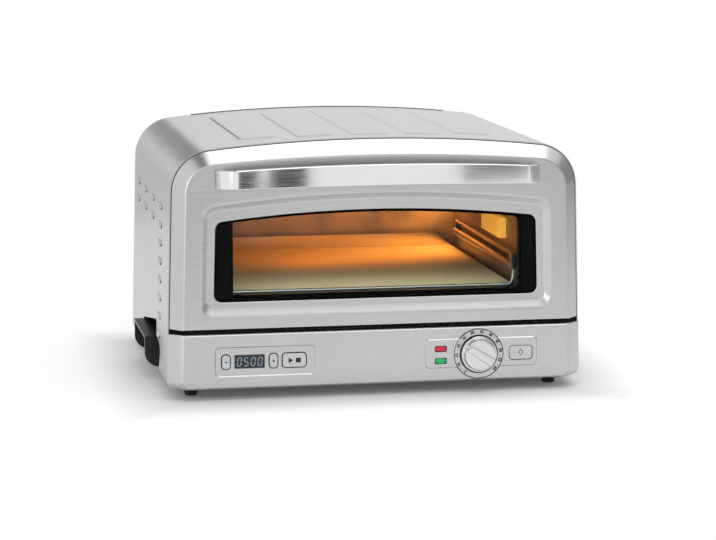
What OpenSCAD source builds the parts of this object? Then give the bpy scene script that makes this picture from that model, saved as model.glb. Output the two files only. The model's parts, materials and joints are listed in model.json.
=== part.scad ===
// Countertop pizza oven with a drop-down glass door, millimetres, +Z up.
// The door faces -Y. The origin lies on the table, under the middle of the bounding box.
// Inside the modules, y is counted from the flat face of the door towards the back.

/* [Body] */
// Width of the shell at its foot
body_w = 474; // [440:1:520]
// Height of the crown of the shell above the table
body_h = 289.5; // [280:0.5:320]
// Depth of the body from the door face to the back edge
body_d = 400; // [390:1:440]
// Height of the underside above the table
foot_h = 12.5; // [9:0.5:20]
// Lean of each side towards the top, degrees
lean = 1.6; // [0:0.1:3]
// Radius of the domed top
crown_r = 1710; // [1400:10:2400]
// Radius of the two upper corners
corner_r = 48; // [30:1:60]
// Radius of the two lower corners
base_corner_r = 9; // [4:1:14]
// Thickness of the sheet steel
sheet = 1.2; // [0.8:0.1:1.6]

/* [Front bevel] */
// Depth of the bevel round the door and the control fascia
bevel_d = 14.4; // [10:0.2:18]
// Width of the bevel at the sides
bevel_side = 15.5; // [10:0.5:20]
// Width of the bevel at the top
bevel_top = 18.2; // [12:0.2:24]
// Radius of the top edge of the flat door face
face_crown_r = 2300; // [1800:10:3000]
// Gap between the bevel and the shell behind it
shell_gap = 1; // [0.6:0.1:1.6]
// Distance of the door's back edge inside the outline of the shell
door_tuck = 2; // [1.8:0.1:3]

/* [Door] */
// Height of the bottom edge of the door above the table
door_base = 80; // [76:0.5:86]
// Gap between the door and the control fascia
door_gap = 5.2; // [4.6:0.1:7]
// Width of the door beside the foot of the pressed window surround
window_margin = 37.7; // [36:0.1:46]
// Height of the foot of the window surround
window_base = 94; // [92:0.5:98]
// Distance of the crown of the window surround below the crown of the shell
window_drop = 59.5; // [56:0.5:66]
// Radius of the domed edges of the window
window_crown_r = 1450; // [1200:10:2000]
// Width of the sloping edge of the window surround
window_bevel = 7; // [5:0.5:9]
// Depth of the window surround behind the door face
window_depth = 6; // [4:0.5:7]
// Width of the flat band between the slope and the glass
window_band = 8; // [6:0.5:10]
// Thickness of each glass pane
glass_t = 4; // [3:0.5:5]
// Thickness of the whole door, from its face to its inner panel
door_t = 25.2; // [22:0.2:26]

/* [Handle] */
// Half length of the door handle
handle_half = 182; // [170:1:190]
// Reach of the handle in front of the door
handle_reach = 40; // [34:1:48]
// Thickness of the handle bar, front to back
handle_bar = 9; // [7:0.5:12]
// Radius of the bow of the handle, seen from above
handle_bow_r = 1390; // [1100:10:2000]
// Radius of the bends at the ends of the handle
handle_bend_r = 24; // [18:1:30]
// Distance of the handle's top edge below the crown of the shell
handle_drop = 24.6; // [20:0.1:30]
// Height of the handle bar at its middle
handle_h = 23.1; // [20:0.1:26]
// Radius of the handle's top edge
handle_top_r = 2520; // [2000:10:4000]
// Radius of the handle's bottom edge
handle_bottom_r = 4700; // [3000:10:8000]

/* [Hinge] */
// Distance of the hinge axis behind the door face
hinge_y = 10; // [9:0.5:11]
// Distance of the hinge axis above the bottom edge of the door
hinge_rise = 12; // [12:0.5:14]
// Diameter of the hinge pin
pin_d = 6; // [4:0.5:7]
// Running clearance round the hinge pin
pin_fit = 0.05; // [0.02:0.01:0.1]
// Distance of each hinge inside the outline of the body
hinge_inset = 25; // [23:0.5:30]

/* [Oven cavity] */
// Distance of each cavity wall from the outline of the body
cavity_margin = 69; // [66:1:76]
// Height of the cavity floor above the table
cavity_floor_z = 86; // [82:1:90]
// Distance of the cavity ceiling below the crown of the shell
cavity_drop = 63.5; // [60:0.5:68]
// Distance of the bulkhead behind the door face
bulkhead_y = 30; // [29:0.5:34]
// Distance of the cavity back from the back edge of the body
cavity_back_gap = 34; // [28:1:40]
// Width of the lip of the mouth in front of each cavity wall
mouth_lip = 2; // [1:0.5:6]
// Height of the foot of the mouth
mouth_base = 106; // [103:0.5:108]
// Distance of the top of the mouth below the cavity ceiling
mouth_drop = 14; // [13:0.5:18]
// Thickness of the insulation round the cavity
insulation_t = 12; // [8:1:16]

/* [Stone] */
// Gap between the pizza stone and each cavity wall
stone_side_gap = 5; // [4.5:0.5:14]
// Gap between the pizza stone and the cavity back
stone_back_gap = 14; // [11:1:29]
// Thickness of the pizza stone
stone_t = 10; // [8:0.5:12]
// Height of the top of the stone above the table
stone_top = 116.5; // [114:0.5:119]
// Distance of the stone behind the door face
stone_y = 47; // [44:1:50]
// Diameter of the wire of the stone carrier
wire_d = 4; // [3:0.5:5]
// Height of the stop behind the stone, above its top
stop_h = 16; // [10:1:20]
// Diameter of each side rail
rail_d = 10; // [8:0.5:10.5]
// Height of the side rails above the table
rail_z = 137.5; // [134:0.5:142]
// Diameter of the heating elements
heater_d = 6.5; // [5:0.5:8]

/* [Controls] */
// Height of the row of controls above the table
control_z = 43.2; // [41:0.2:45]
// Width of each long button
button_w = 26; // [22:0.5:28]
// Height of the buttons and the display
button_h = 15.4; // [12:0.2:17]
// Width of the two small buttons
step_button_w = 8.6; // [7:0.2:9.4]
// Clearance round each button
button_gap = 0.35; // [0.2:0.05:0.5]
// Travel of the buttons
button_travel = 1; // [0.6:0.1:1.2]
// Width of the display
display_w = 34; // [30:0.5:35]
// Diameter of the scale ring round the dial
ring_d = 56; // [52:0.5:58]
// Diameter of the dial
dial_d = 41; // [36:0.5:44]
// Height of the dial in front of the fascia
dial_h = 18; // [14:0.5:22]
// Distance of the dial from the right edge of the body
dial_inset = 121.7; // [117:0.1:127]
// Distance of the display from the left edge of the body
display_inset = 91.4; // [88:0.1:96]
// Diameter of the dial's shaft
shaft_d = 6; // [5:0.5:7]

/* [Side handles] */
// Reach of each side handle beyond the shell
grip_reach = 12; // [10:0.5:18]
// Distance of the front of a side handle behind the door face
grip_y = 140; // [136:1:150]
// Length of each side handle
grip_l = 122; // [110:1:126]
// Height of the top of the side handles above the table
grip_z = 50.5; // [46:0.5:51]

/* [Hidden] */
$fn = 64;
CROWN_FN = 720;

// ---- derived sizes ----
eps = 0.01;
centre_y = (body_d - handle_reach) / 2;
half_w = body_w / 2;
function flank_x(z) = half_w - (z - foot_h) * tan(lean);
shell_y = bevel_d + shell_gap;
fascia_top = door_base - door_gap;
face_crest = body_h - bevel_top;
face_corner_r = corner_r - bevel_side;
rear_y = body_d - 9;
hinge_z = door_base + hinge_rise;
hinge_x = half_w - hinge_inset;
pin_r = pin_d / 2;

// window: outer ridge, inner ridge and the edge of the glass
window_half_w = half_w - window_margin;
window_crest = body_h - window_drop;
ridge_in = window_bevel;
ridge_drop = 8;
glass_drop = 12;
ridge_corner_r = 14;
ridge_half_w = window_half_w - ridge_in;
ridge_base = window_base + ridge_in - 0.5;
ridge_crest = window_crest - ridge_drop;
view_half_w = ridge_half_w - window_band;
view_base = ridge_base + window_band + 1;
view_crest = ridge_crest - glass_drop;
pane_y = window_depth + sheet;
pane_lap = 2.4;
tray_gap = 1;
inner_pane_y = door_t - sheet - glass_t;
inner_frame_w = 16;
inner_frame_edge = 5;
inner_lap = 8;

// oven cavity
cavity_half = half_w - cavity_margin;
cavity_ceiling_z = body_h - cavity_drop;
cavity_back_y = body_d - cavity_back_gap;
mouth_w = 2 * (cavity_half - mouth_lip);
mouth_top = cavity_ceiling_z - mouth_drop;
stone_w = 2 * (cavity_half - stone_side_gap);
stone_l = cavity_back_y - stone_y - stone_back_gap;
cavity_y = bulkhead_y + sheet;
stone_back = stone_y + stone_l;
rail_x = cavity_half - rail_d / 2 - 0.5;
guard_z = rail_z + 13;
guard_r = 2;
rail_front = cavity_y + 4;
rail_back = stone_back - 28;

// base pan and side recesses
pan_half = half_w - 12;
pan_h = 68;
notch_front = grip_y - 12;
notch_back = grip_y + grip_l + 6;
notch_high = grip_z + 22;
notch_low = grip_z + 1;

// feet
foot_x = half_w - 30;
foot_front_y = 40;
foot_rear_y = body_d - 45;
foot_top_r = 10.5;
foot_tip_r = 6.5;

// louvres in the sides
louvre_l = 30;
louvre_h = 5;
louvre_pitch_y = (body_d - 154) / 3;
louvre_pitch_z = 21;
louvre_y = 104;
louvre_top_z = body_h - 84;

// pads pressed into the top
pad_n = 5;
pad_w = 40;
pad_pitch = 62;
pad_rise = 1.2;
pad_front = 46;
pad_back = body_d - 58;
pad_bow = 26;

// control fascia: the left group is set out from the display, the right group from the dial
display_x = display_inset - half_w;
minus_x = display_x - 26.5;
plus_x = display_x + 26.8;
start_x = display_x + 50.2;
left_recess_x = display_x + 17.6;
left_recess = [111, 31.5];
dial_x = half_w - dial_inset;
light_x = dial_x + 48.9;
lamp_x = dial_x - 43.7;
right_recess_x = dial_x + 2.9;
right_recess = [128, 31.4];
right_recess_rise = 1.4;
lamp_w = 14;
lamp_h = 7.2;
power_z = control_z + 6.9;
ready_z = control_z - 6.9;
recess_d = 0.6;
board_y = 12;
board_t = 1.6;
board_w = 362;
board_h = 40;
switch_y = 6.3;
flange_t = 1;
flange_w = 1.4;

ring_t = 1.5;
dial_clear = ring_t + 0.4;
dial_rest = 148;

// heaters, lamp, probe, screws and gland
heater_levels = [cavity_floor_z + sheet + 6, cavity_ceiling_z - 6];
heater_pitch = 76;
heater_first = 84;
heater_ends = [heater_first, heater_first + 3 * heater_pitch];
terminal_r = 5;
terminal_neck_r = 4;
lamp_y = 88;
lamp_l = 90;
lamp_z = 161.5;
lamp_box_h = 24;
lamp_box_d = 26;
lens_reach = 8.4;
probe_x = -60;
probe_z = cavity_ceiling_z - 36;
probe_reach = 30;
probe_r = 2;
screw_r = 2;
gland_x = half_w - 67;
gland_z = 46;
gland_r = 6;
rear_screw_places = [
    [47 - half_w, foot_h + 17.5], [0, foot_h + 17.5], [half_w - 47, foot_h + 17.5], [0, body_h - 21.5]
];
handle_pad_t = 1.5;
handle_top = body_h - handle_drop;
handle_bottom = handle_top - handle_h;
handle_screw_x = handle_half - handle_bar / 2;
handle_mid_z = (handle_top + handle_bottom) / 2 - 5.5;

// ---- helpers ----
// Moves the oven so that the origin is under the middle of its box
module placed() {
    translate([0, -centre_y, 0]) children();
}

// Raises a drawing in X and Z into a solid between two distances from the door face
module along_y(y0, y1) {
    translate([0, y1, 0]) rotate([90, 0, 0]) linear_extrude(y1 - y0) children();
}

// Raises a drawing in Y and Z into a solid between two places across
module along_x(x0, x1) {
    translate([x0, 0, 0]) rotate([90, 0, 90]) linear_extrude(x1 - x0) children();
}

module block(x, y, z) {
    translate([x[0], y[0], z[0]]) cube([x[1] - x[0], y[1] - y[0], z[1] - z[0]]);
}

module rod_x(x, y, z, r) {
    translate([x[0], y, z]) rotate([0, 90, 0]) cylinder(h = x[1] - x[0], r = r);
}

module rod_y(x, y, z, r) {
    translate([x, y[0], z]) rotate([-90, 0, 0]) cylinder(h = y[1] - y[0], r = r);
}

module rod_z(x, y, z, r) {
    translate([x, y, z[0]]) cylinder(h = z[1] - z[0], r = r);
}

module pair() {
    children();
    mirror([1, 0, 0]) children();
}

function arc_points(x, y, r, from, to, n) = [
    for (i = [0 : n]) [x + r * cos(from + (to - from) * i / n), y + r * sin(from + (to - from) * i / n)]
];

// Rectangle with round corners, centred
module round_rect(w, h, r) {
    square([w - 2 * r, h], center = true);
    square([w, h - 2 * r], center = true);
    for (sx = [-1, 1], sy = [-1, 1]) {
        translate([sx * (w / 2 - r), sy * (h / 2 - r)]) circle(r = r);
    }
}

// Outline with leaning flanks, a domed top and round corners. half is the half width at the base.
module domed(half, base, crest, top_r, r, base_r, inset = 0) {
    t = tan(lean);
    flank = half - r / cos(lean) + base * t;
    centre = crest - top_r;
    reach = top_r - r;
    a = 1 + t * t;
    b = flank * t + centre;
    c = flank * flank + centre * centre - reach * reach;
    zc = (b + sqrt(b * b - a * c)) / a;
    xc = flank - t * zc;
    slope = xc / (zc - centre);
    ri = r - inset;
    bi = max(base_r - inset, 0);
    z0 = base + inset;
    z1 = z0 + bi;
    tx = xc + ri * cos(lean);
    tz = zc + ri * sin(lean);
    x1 = tx + (tz - z1) * t;
    polygon([[-x1, z1], [x1, z1], [tx, tz], [-tx, tz]]);
    for (s = [-1, 1]) {
        translate([s * xc, zc]) circle(r = ri);
    }
    intersection() {
        translate([0, centre]) circle(r = top_r - inset, $fn = CROWN_FN);
        polygon([
            [-(z1 - centre) * slope, z1], [(z1 - centre) * slope, z1],
            [(crest + 9 - centre) * slope, crest + 9], [-(crest + 9 - centre) * slope, crest + 9]
        ]);
    }
    if (bi > 0) {
        for (s = [-1, 1]) {
            translate([s * (x1 - bi), z1]) circle(r = bi);
        }
        translate([-(x1 - bi), z0]) square([2 * (x1 - bi), bi]);
    }
}

// Outline of the whole body, as the shell has it
module body_outline(inset = 0) {
    domed(half_w, foot_h, body_h, crown_r, corner_r, base_corner_r, inset);
}

// Outline of the door where it meets the shell, and of its flat face
module door_outline(inset = 0) {
    domed(flank_x(door_base) - door_tuck, door_base, body_h - door_tuck, crown_r - door_tuck,
        corner_r - door_tuck, 0, inset);
}
module face_outline(inset = 0) {
    domed(flank_x(door_base) - bevel_side, door_base, face_crest, face_crown_r, face_corner_r, 0, inset);
}

// Outlines of the window: where the slope starts, where it ends, and the edge of the glass
module window_outline(inset = 0) {
    domed(window_half_w, window_base, window_crest, window_crown_r, ridge_corner_r, ridge_corner_r, inset);
}
module ridge_outline(inset = 0) {
    domed(ridge_half_w, ridge_base, ridge_crest, window_crown_r, 10, 10, inset);
}
module view_outline(inset = 0) {
    domed(view_half_w, view_base, view_crest, window_crown_r, 9, 9, inset);
}

// Opening of the inner panel, or the inner pane that laps over it
module inner_outline(lap) {
    in = inner_frame_edge - lap;
    domed(view_half_w - inner_frame_w + lap, view_base + in, view_crest - in, window_crown_r, 9, 9);
}

// ---- body ----
module louvre_slots() {
    for (col = [0 : 3], row = [0 : 7]) {
        if (col == 0 || row < 2) {
            translate([louvre_y + col * louvre_pitch_y, louvre_top_z - row * louvre_pitch_z])
                round_rect(louvre_l, louvre_h, louvre_h / 2 - eps);
        }
    }
}

// Opening low in each side, where the carry handle is
module grip_notch() {
    polygon([
        [notch_front - 24, foot_h - 1], [notch_back, foot_h - 1], [notch_back, notch_low],
        [notch_front, notch_high], [notch_front - 2, notch_high - 18], [notch_front - 38, 47],
        [notch_front - 41, 38], [notch_front - 34, 26]
    ]);
}

module top_pads() {
    for (i = [0 : pad_n - 1]) {
        x = (i - (pad_n - 1) / 2) * pad_pitch;
        front = pad_front + pad_bow * pow(x / (2 * pad_pitch), 2);
        intersection() {
            along_y(pad_front - 1, pad_back) difference() {
                body_outline(-pad_rise);
                body_outline(0);
            }
            translate([x, (front + pad_back) / 2, body_h - 20])
                linear_extrude(24) round_rect(pad_w, pad_back - front, 5);
        }
    }
}

module outer_shell() {
    color("silver") placed() {
        difference() {
            along_y(shell_y, body_d) difference() {
                body_outline(0);
                body_outline(sheet);
                translate([base_corner_r - half_w, foot_h - 1])
                    square([body_w - 2 * base_corner_r, sheet + 1.5]);
            }
            along_x(-half_w - 1, half_w + 1) louvre_slots();
            along_x(-half_w - 1, half_w + 1) grip_notch();
        }
        top_pads();
    }
}

module rear_panel() {
    slot_n = 9;
    color("silver") placed() difference() {
        along_y(rear_y, rear_y + sheet) body_outline(sheet);
        for (side = [-1, 1], i = [0 : slot_n - 1], row = [0, 1]) {
            translate([side * (70 + i * 14), rear_y - 1, 178 + row * 46]) rotate([-90, 0, 0])
                linear_extrude(sheet + 2) round_rect(5, 34, 2.4);
        }
        rod_y(gland_x, [rear_y - 1, rear_y + 2], gland_z, gland_r);
    }
}

module base_pan() {
    color("dimgray") placed() difference() {
        union() {
            block([-pan_half, pan_half], [shell_y, rear_y], [foot_h, foot_h + sheet]);
            pair() block([pan_half - sheet, pan_half], [cavity_y, rear_y], [foot_h, foot_h + pan_h]);
        }
        for (i = [0 : 6], row = [0 : 2]) {
            translate([(i - 3) * 44, 110 + row * 90, foot_h - 1])
                linear_extrude(sheet + 2) round_rect(26, 5, 2.4);
        }
        for (x = [-foot_x, foot_x], y = [foot_front_y, foot_rear_y]) {
            rod_z(x, y, [foot_h - 1, foot_h + 2], screw_r + 0.2);
        }
    }
}

module mouth_frame() {
    color("gray") placed() difference() {
        union() {
            along_y(bulkhead_y, cavity_y) difference() {
                body_outline(sheet);
                translate([-half_w, foot_h - 1]) square([body_w, sheet * 2 + 1]);
            }
            along_y(shell_y + 2.6, bulkhead_y) difference() {
                body_outline(sheet);
                body_outline(2 * sheet);
                translate([-half_w, foot_h - 1]) square([body_w, hinge_z + hinge_rise - foot_h]);
            }
        }
        translate([0, bulkhead_y - 1, (mouth_base + mouth_top) / 2]) rotate([-90, 0, 0])
            linear_extrude(sheet + 2) round_rect(mouth_w, mouth_top - mouth_base, 8);
    }
}

// Round edged hole in the fascia for a button, lens or display
module fascia_hole(x, z, w, h, r) {
    translate([x, z]) round_rect(w, h, r);
}

module control_fascia() {
    color("silver") placed() difference() {
        union() {
            difference() {
                hull() {
                    along_y(0, eps) fascia_face(0);
                    along_y(bevel_d - eps, bevel_d) fascia_outline(0);
                }
                hull() {
                    along_y(sheet, sheet + eps) fascia_face(sheet);
                    along_y(bevel_d, bevel_d + eps) fascia_outline(sheet);
                }
            }
            along_y(bevel_d - 2, bulkhead_y) difference() {
                fascia_outline(sheet);
                fascia_outline(2 * sheet);
            }
        }
        along_y(-1, recess_d) {
            fascia_hole(left_recess_x, control_z, left_recess[0], left_recess[1], 4);
            fascia_hole(right_recess_x, control_z + right_recess_rise, right_recess[0], right_recess[1], 4);
        }
        along_y(-1, sheet + 1) {
            fascia_hole(display_x, control_z, display_w, button_h, 1);
            fascia_hole(minus_x, control_z, step_button_w + 2 * button_gap, button_h + 2 * button_gap, 3.5);
            fascia_hole(plus_x, control_z, step_button_w + 2 * button_gap, button_h + 2 * button_gap, 3.5);
            fascia_hole(start_x, control_z, button_w + 2 * button_gap, button_h + 2 * button_gap, 4);
            fascia_hole(light_x, control_z, button_w + 2 * button_gap, button_h + 2 * button_gap, 4);
            fascia_hole(lamp_x, power_z, lamp_w, lamp_h, 2);
            fascia_hole(lamp_x, ready_z, lamp_w, lamp_h, 2);
            translate([dial_x, control_z]) circle(r = shaft_d / 2 + 1);
        }
        // comb of air slots in the top flange, under the door
        for (i = [0 : 43]) {
            translate([(i - 21.5) * 9.6, bevel_d + 3.5, fascia_top - 2 * sheet - 1])
                linear_extrude(2 * sheet + 2) square([6, 13], center = true);
        }
    }
}

// The fascia is the lower slice of the body's outline
module fascia_outline(inset) {
    intersection() {
        body_outline(inset);
        translate([-half_w, foot_h]) square([body_w, fascia_top - foot_h - inset]);
    }
}
module fascia_face(inset) {
    intersection() {
        domed(half_w - bevel_side, foot_h, face_crest, face_crown_r, face_corner_r, base_corner_r, inset);
        translate([-half_w, foot_h]) square([body_w, fascia_top - foot_h - inset]);
    }
}

// ---- oven cavity ----
module cavity_floor() {
    color("dimgray") placed()
        block([-cavity_half, cavity_half], [cavity_y, cavity_back_y], [cavity_floor_z, cavity_floor_z + sheet]);
}

module cavity_top() {
    color("dimgray") placed()
        block([-cavity_half, cavity_half], [cavity_y, cavity_back_y],
            [cavity_ceiling_z, cavity_ceiling_z + sheet]);
}

module cavity_side() {
    block([cavity_half, cavity_half + sheet], [cavity_y, cavity_back_y],
        [cavity_floor_z, cavity_ceiling_z + sheet]);
}

module cavity_left() {
    color("dimgray") placed() mirror([1, 0, 0]) cavity_side();
}

module cavity_right() {
    color("dimgray") placed() difference() {
        cavity_side();
        for (z = heater_levels, y = heater_ends) {
            rod_x([cavity_half - 1, cavity_half + sheet + 1], y, z, terminal_neck_r);
        }
        block([cavity_half - 1, cavity_half + sheet + 1], [lamp_y + 6, lamp_y + lamp_l - 6],
            [lamp_z + 5, lamp_z + lamp_box_h - 5]);
    }
}

module cavity_back() {
    color("dimgray") placed() difference() {
        block([-cavity_half - sheet, cavity_half + sheet], [cavity_back_y, cavity_back_y + sheet],
            [cavity_floor_z, cavity_ceiling_z + sheet]);
        rod_y(probe_x, [cavity_back_y - 1, cavity_back_y + sheet + 1], probe_z, probe_r);
    }
}

module insulation_blanket() {
    gap = 0.4;
    inner = cavity_half + sheet + gap;
    outer = inner + insulation_t;
    low = cavity_floor_z;
    roof = cavity_ceiling_z + sheet + gap;
    front = cavity_y + 1;
    back = cavity_back_y + sheet + gap;
    color("whitesmoke") placed() difference() {
        block([-outer, outer], [front, back + insulation_t], [low, roof + insulation_t]);
        block([-inner, inner], [front - 1, back], [low - 1, roof]);
        block([inner - 1, outer + 1], [lamp_y - 1, lamp_y + lamp_l + 1], [lamp_z - 1, lamp_z + lamp_box_h + 1]);
        for (z = heater_levels, y = heater_ends) {
            rod_x([inner - 1, outer + 1], y, z, terminal_r + 0.6);
        }
        rod_y(probe_x, [back - 1, back + insulation_t + 1], probe_z, probe_r + 1);
    }
}

// Heating element bent to and fro across the oven, with both ends through the right side
module heater(z) {
    r = heater_d / 2;
    bend = heater_pitch / 2;
    span = cavity_half - 26 - bend;
    for (i = [0 : 3]) {
        y = heater_first + i * heater_pitch;
        reach = (i == 0 || i == 3) ? cavity_half + 14 : span;
        rod_x([-span, reach], y, z, r);
    }
    for (i = [0, 2]) {
        translate([-span, heater_first + i * heater_pitch + bend, z])
            rotate([0, 0, 90]) rotate_extrude(angle = 180) translate([bend, 0]) circle(r = r);
    }
    translate([span, heater_first + heater_pitch + bend, z])
        rotate([0, 0, -90]) rotate_extrude(angle = 180) translate([bend, 0]) circle(r = r);
}

module upper_heater() {
    color("darkslategray") placed() heater(heater_levels[1]);
}

module lower_heater() {
    color("darkslategray") placed() heater(heater_levels[0]);
}

module heater_terminals() {
    x0 = cavity_half;
    color("ivory") placed() for (z = heater_levels, y = heater_ends) {
        difference() {
            union() {
                rod_x([x0 - 0.5, x0 + sheet], y, z, terminal_neck_r);
                rod_x([x0 + sheet, x0 + 11], y, z, terminal_r);
            }
            rod_x([x0 - 2, x0 + 12], y, z, heater_d / 2);
        }
    }
}

// ---- stone and what carries it ----
module rack_rail() {
    rod_y(rail_x, [rail_front, rail_back], rail_z, rail_d / 2);
    rod_y(rail_x, [rail_front, rail_back], guard_z, guard_r);
    for (y = [rail_front, rail_back - 6]) {
        block([rail_x - 2, cavity_half], [y, y + 6], [rail_z, guard_z]);
    }
}

module rack_rail_left() {
    color("silver") placed() mirror([1, 0, 0]) rack_rail();
}

module rack_rail_right() {
    color("silver") placed() rack_rail();
}

module stone_carrier() {
    r = wire_d / 2;
    bed_z = stone_top - stone_t - r;
    front_z = stone_top - 2;
    front_y = stone_y - r - 0.5;
    side_x = stone_w / 2 - 3;
    color("silver") placed() union() {
        // front and back bars, and two runners that stand on the cavity floor
        rod_x([-side_x, side_x], front_y, bed_z, r);
        rod_x([-side_x, side_x], stone_back + r + 0.5, bed_z, r);
        for (s = [-1, 1]) {
            rod_y(s * side_x, [front_y, stone_back + r + 0.5], bed_z, r);
            translate([s * side_x, front_y, bed_z]) sphere(r = r);
            translate([s * side_x, stone_back + r + 0.5, bed_z]) sphere(r = r);
            for (y = [stone_y + 70, stone_back - 70]) {
                rod_z(s * side_x, y, [cavity_floor_z + sheet, bed_z], r);
            }
            // hooked ends beside the rails
            rod_z(s * side_x, front_y, [bed_z, front_z], r);
            translate([s * side_x, front_y, front_z]) sphere(r = r);
        }
        for (x = [-1, 0, 1]) {
            rod_y(x * stone_w / 4, [front_y, stone_back + r + 0.5], bed_z, r);
        }
        rod_x([-side_x, side_x], front_y, front_z, r);
        // stop behind the stone
        block([-stone_w / 2 + 2, stone_w / 2 - 2], [stone_back + 1, stone_back + 1 + sheet],
            [bed_z - 1, stone_top + stop_h]);
    }
}

module pizza_stone() {
    color("tan") placed() translate([0, stone_y + stone_l / 2, stone_top - stone_t])
        linear_extrude(stone_t) round_rect(stone_w, stone_l, 7);
}

// ---- lamp and thermostat ----
module lamp_housing() {
    x0 = cavity_half + sheet;
    color("silver") placed() difference() {
        block([x0, x0 + lamp_box_d], [lamp_y, lamp_y + lamp_l], [lamp_z, lamp_z + lamp_box_h]);
        block([x0 - 1, x0 + lamp_box_d - sheet], [lamp_y + 6, lamp_y + lamp_l - 6],
            [lamp_z + 5, lamp_z + lamp_box_h - 5]);
    }
}

module lamp_lens() {
    wall = 1.6;
    x1 = cavity_half;
    x0 = x1 - lens_reach;
    color("lemonchiffon") placed() difference() {
        block([x0, x1], [lamp_y, lamp_y + lamp_l], [lamp_z, lamp_z + lamp_box_h]);
        block([x0 + wall, x1 + 1], [lamp_y + wall, lamp_y + lamp_l - wall],
            [lamp_z + wall, lamp_z + lamp_box_h - wall]);
    }
}

module lamp_bulb() {
    y_mid = lamp_y + lamp_l / 2;
    z_mid = lamp_z + lamp_box_h / 2;
    x0 = cavity_half + sheet;
    color("lightyellow") placed() union() {
        rod_x([x0 + 2, x0 + 16], y_mid, z_mid, 5);
        translate([x0 + 2, y_mid, z_mid]) sphere(r = 5);
        rod_x([x0 + 16, x0 + lamp_box_d - sheet], y_mid, z_mid, 6);
    }
}

module thermostat_probe() {
    color("silver") placed() union() {
        rod_y(probe_x, [cavity_back_y - probe_reach, cavity_back_y + sheet + 8], probe_z, probe_r);
        rod_y(probe_x, [cavity_back_y - 2, cavity_back_y], probe_z, probe_r + 3);
    }
}

// ---- door ----
module door_seal() {
    ring_w = 6;
    color("black") placed() translate([0, door_t + 0.4, (mouth_base + mouth_top) / 2]) mirror([0, 1, 0])
        rotate([90, 0, 0]) linear_extrude(bulkhead_y - door_t - 0.4) difference() {
            round_rect(mouth_w + 2 * ring_w, mouth_top - mouth_base + 1.2 * ring_w, 12);
            round_rect(mouth_w + 1, mouth_top - mouth_base + 1, 8);
        }
}

module door_skin() {
    flange = 6;
    color("silver") placed() difference() {
        union() {
            difference() {
                hull() {
                    along_y(0, eps) face_outline(0);
                    along_y(bevel_d - eps, bevel_d) door_outline(0);
                }
                hull() {
                    along_y(sheet, sheet + eps) face_outline(sheet);
                    along_y(bevel_d, bevel_d + eps) door_outline(sheet);
                }
            }
            hull() {
                along_y(eps, 2 * eps) window_outline(-sheet);
                along_y(pane_y - eps, pane_y) ridge_outline(-sheet);
            }
        }
        hull() {
            along_y(-eps, 0) window_outline(0);
            along_y(window_depth - eps, window_depth) ridge_outline(0);
        }
        along_y(window_depth - 1, pane_y + 1) view_outline(0);
        block([-hinge_x - 6, hinge_x + 6], [flange, bevel_d + 1], [door_base - 1, door_base + 2 * sheet]);
        for (s = [-1, 1]) {
            rod_y(s * handle_screw_x, [-1, sheet + 1], handle_mid_z, screw_r + 0.2);
        }
    }
}

module door_glass() {
    color("black", 0.6) placed() along_y(pane_y, pane_y + glass_t) view_outline(-pane_lap);
}

module door_inner_panel() {
    wall_in = -pane_lap - tray_gap;
    color("dimgray") placed() difference() {
        along_y(pane_y, door_t) view_outline(wall_in - sheet);
        along_y(pane_y - 1, door_t - sheet) view_outline(wall_in);
        along_y(door_t - sheet - 1, door_t + 1) inner_outline(0);
    }
}

module door_inner_glass() {
    color("lightgray", 0.4) placed() along_y(inner_pane_y, inner_pane_y + glass_t) inner_outline(inner_lap);
}

// Handle seen from above: a bowed bar whose ends bend back to the door
module handle_plan(inset) {
    centre = handle_reach - handle_bow_r;
    reach = handle_bow_r - handle_bend_r;
    xf = handle_half - handle_bend_r;
    yf = centre + sqrt(reach * reach - xf * xf);
    turn = atan2(yf - centre, xf);
    polygon(concat(
        [[handle_half - inset, 0]],
        arc_points(xf, yf, handle_bend_r - inset, 0, turn, 8),
        arc_points(0, centre, handle_bow_r - inset, turn, 180 - turn, 24),
        arc_points(-xf, yf, handle_bend_r - inset, 180 - turn, 180, 8),
        [[inset - handle_half, 0]]
    ));
}

// Handle seen from the front: an arched band
module handle_front() {
    top = acos((handle_half + 1) / handle_top_r);
    low = acos((handle_half + 1) / handle_bottom_r);
    polygon(concat(
        arc_points(0, handle_top - handle_top_r, handle_top_r, top, 180 - top, 20),
        arc_points(0, handle_bottom - handle_bottom_r, handle_bottom_r, 180 - low, low, 12)
    ));
}

module door_handle() {
    color("gainsboro") placed() difference() {
        intersection() {
            translate([0, 0, handle_bottom - 20]) mirror([0, 1, 0]) linear_extrude(60) intersection() {
                difference() {
                    handle_plan(0);
                    handle_plan(handle_bar);
                }
                translate([-handle_half - 1, handle_pad_t]) square([2 * handle_half + 2, 60]);
            }
            along_y(-handle_reach - 1, 0) handle_front();
        }
        for (s = [-1, 1]) {
            rod_y(s * handle_screw_x, [-14, 0], handle_mid_z, screw_r);
        }
    }
}

module handle_pads() {
    color("dimgray") placed() for (s = [-1, 1]) {
        difference() {
            translate([s * handle_screw_x, 0, handle_mid_z]) rotate([90, 0, 0])
                linear_extrude(handle_pad_t) round_rect(handle_bar, 17, 3);
            rod_y(s * handle_screw_x, [-handle_pad_t - 1, 1], handle_mid_z, screw_r + 0.2);
        }
    }
}

module handle_screws() {
    color("silver") placed() for (s = [-1, 1]) {
        rod_y(s * handle_screw_x, [-13, sheet], handle_mid_z, screw_r);
        rod_y(s * handle_screw_x, [sheet, sheet + 2.6], handle_mid_z, screw_r + 2);
    }
}

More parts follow.
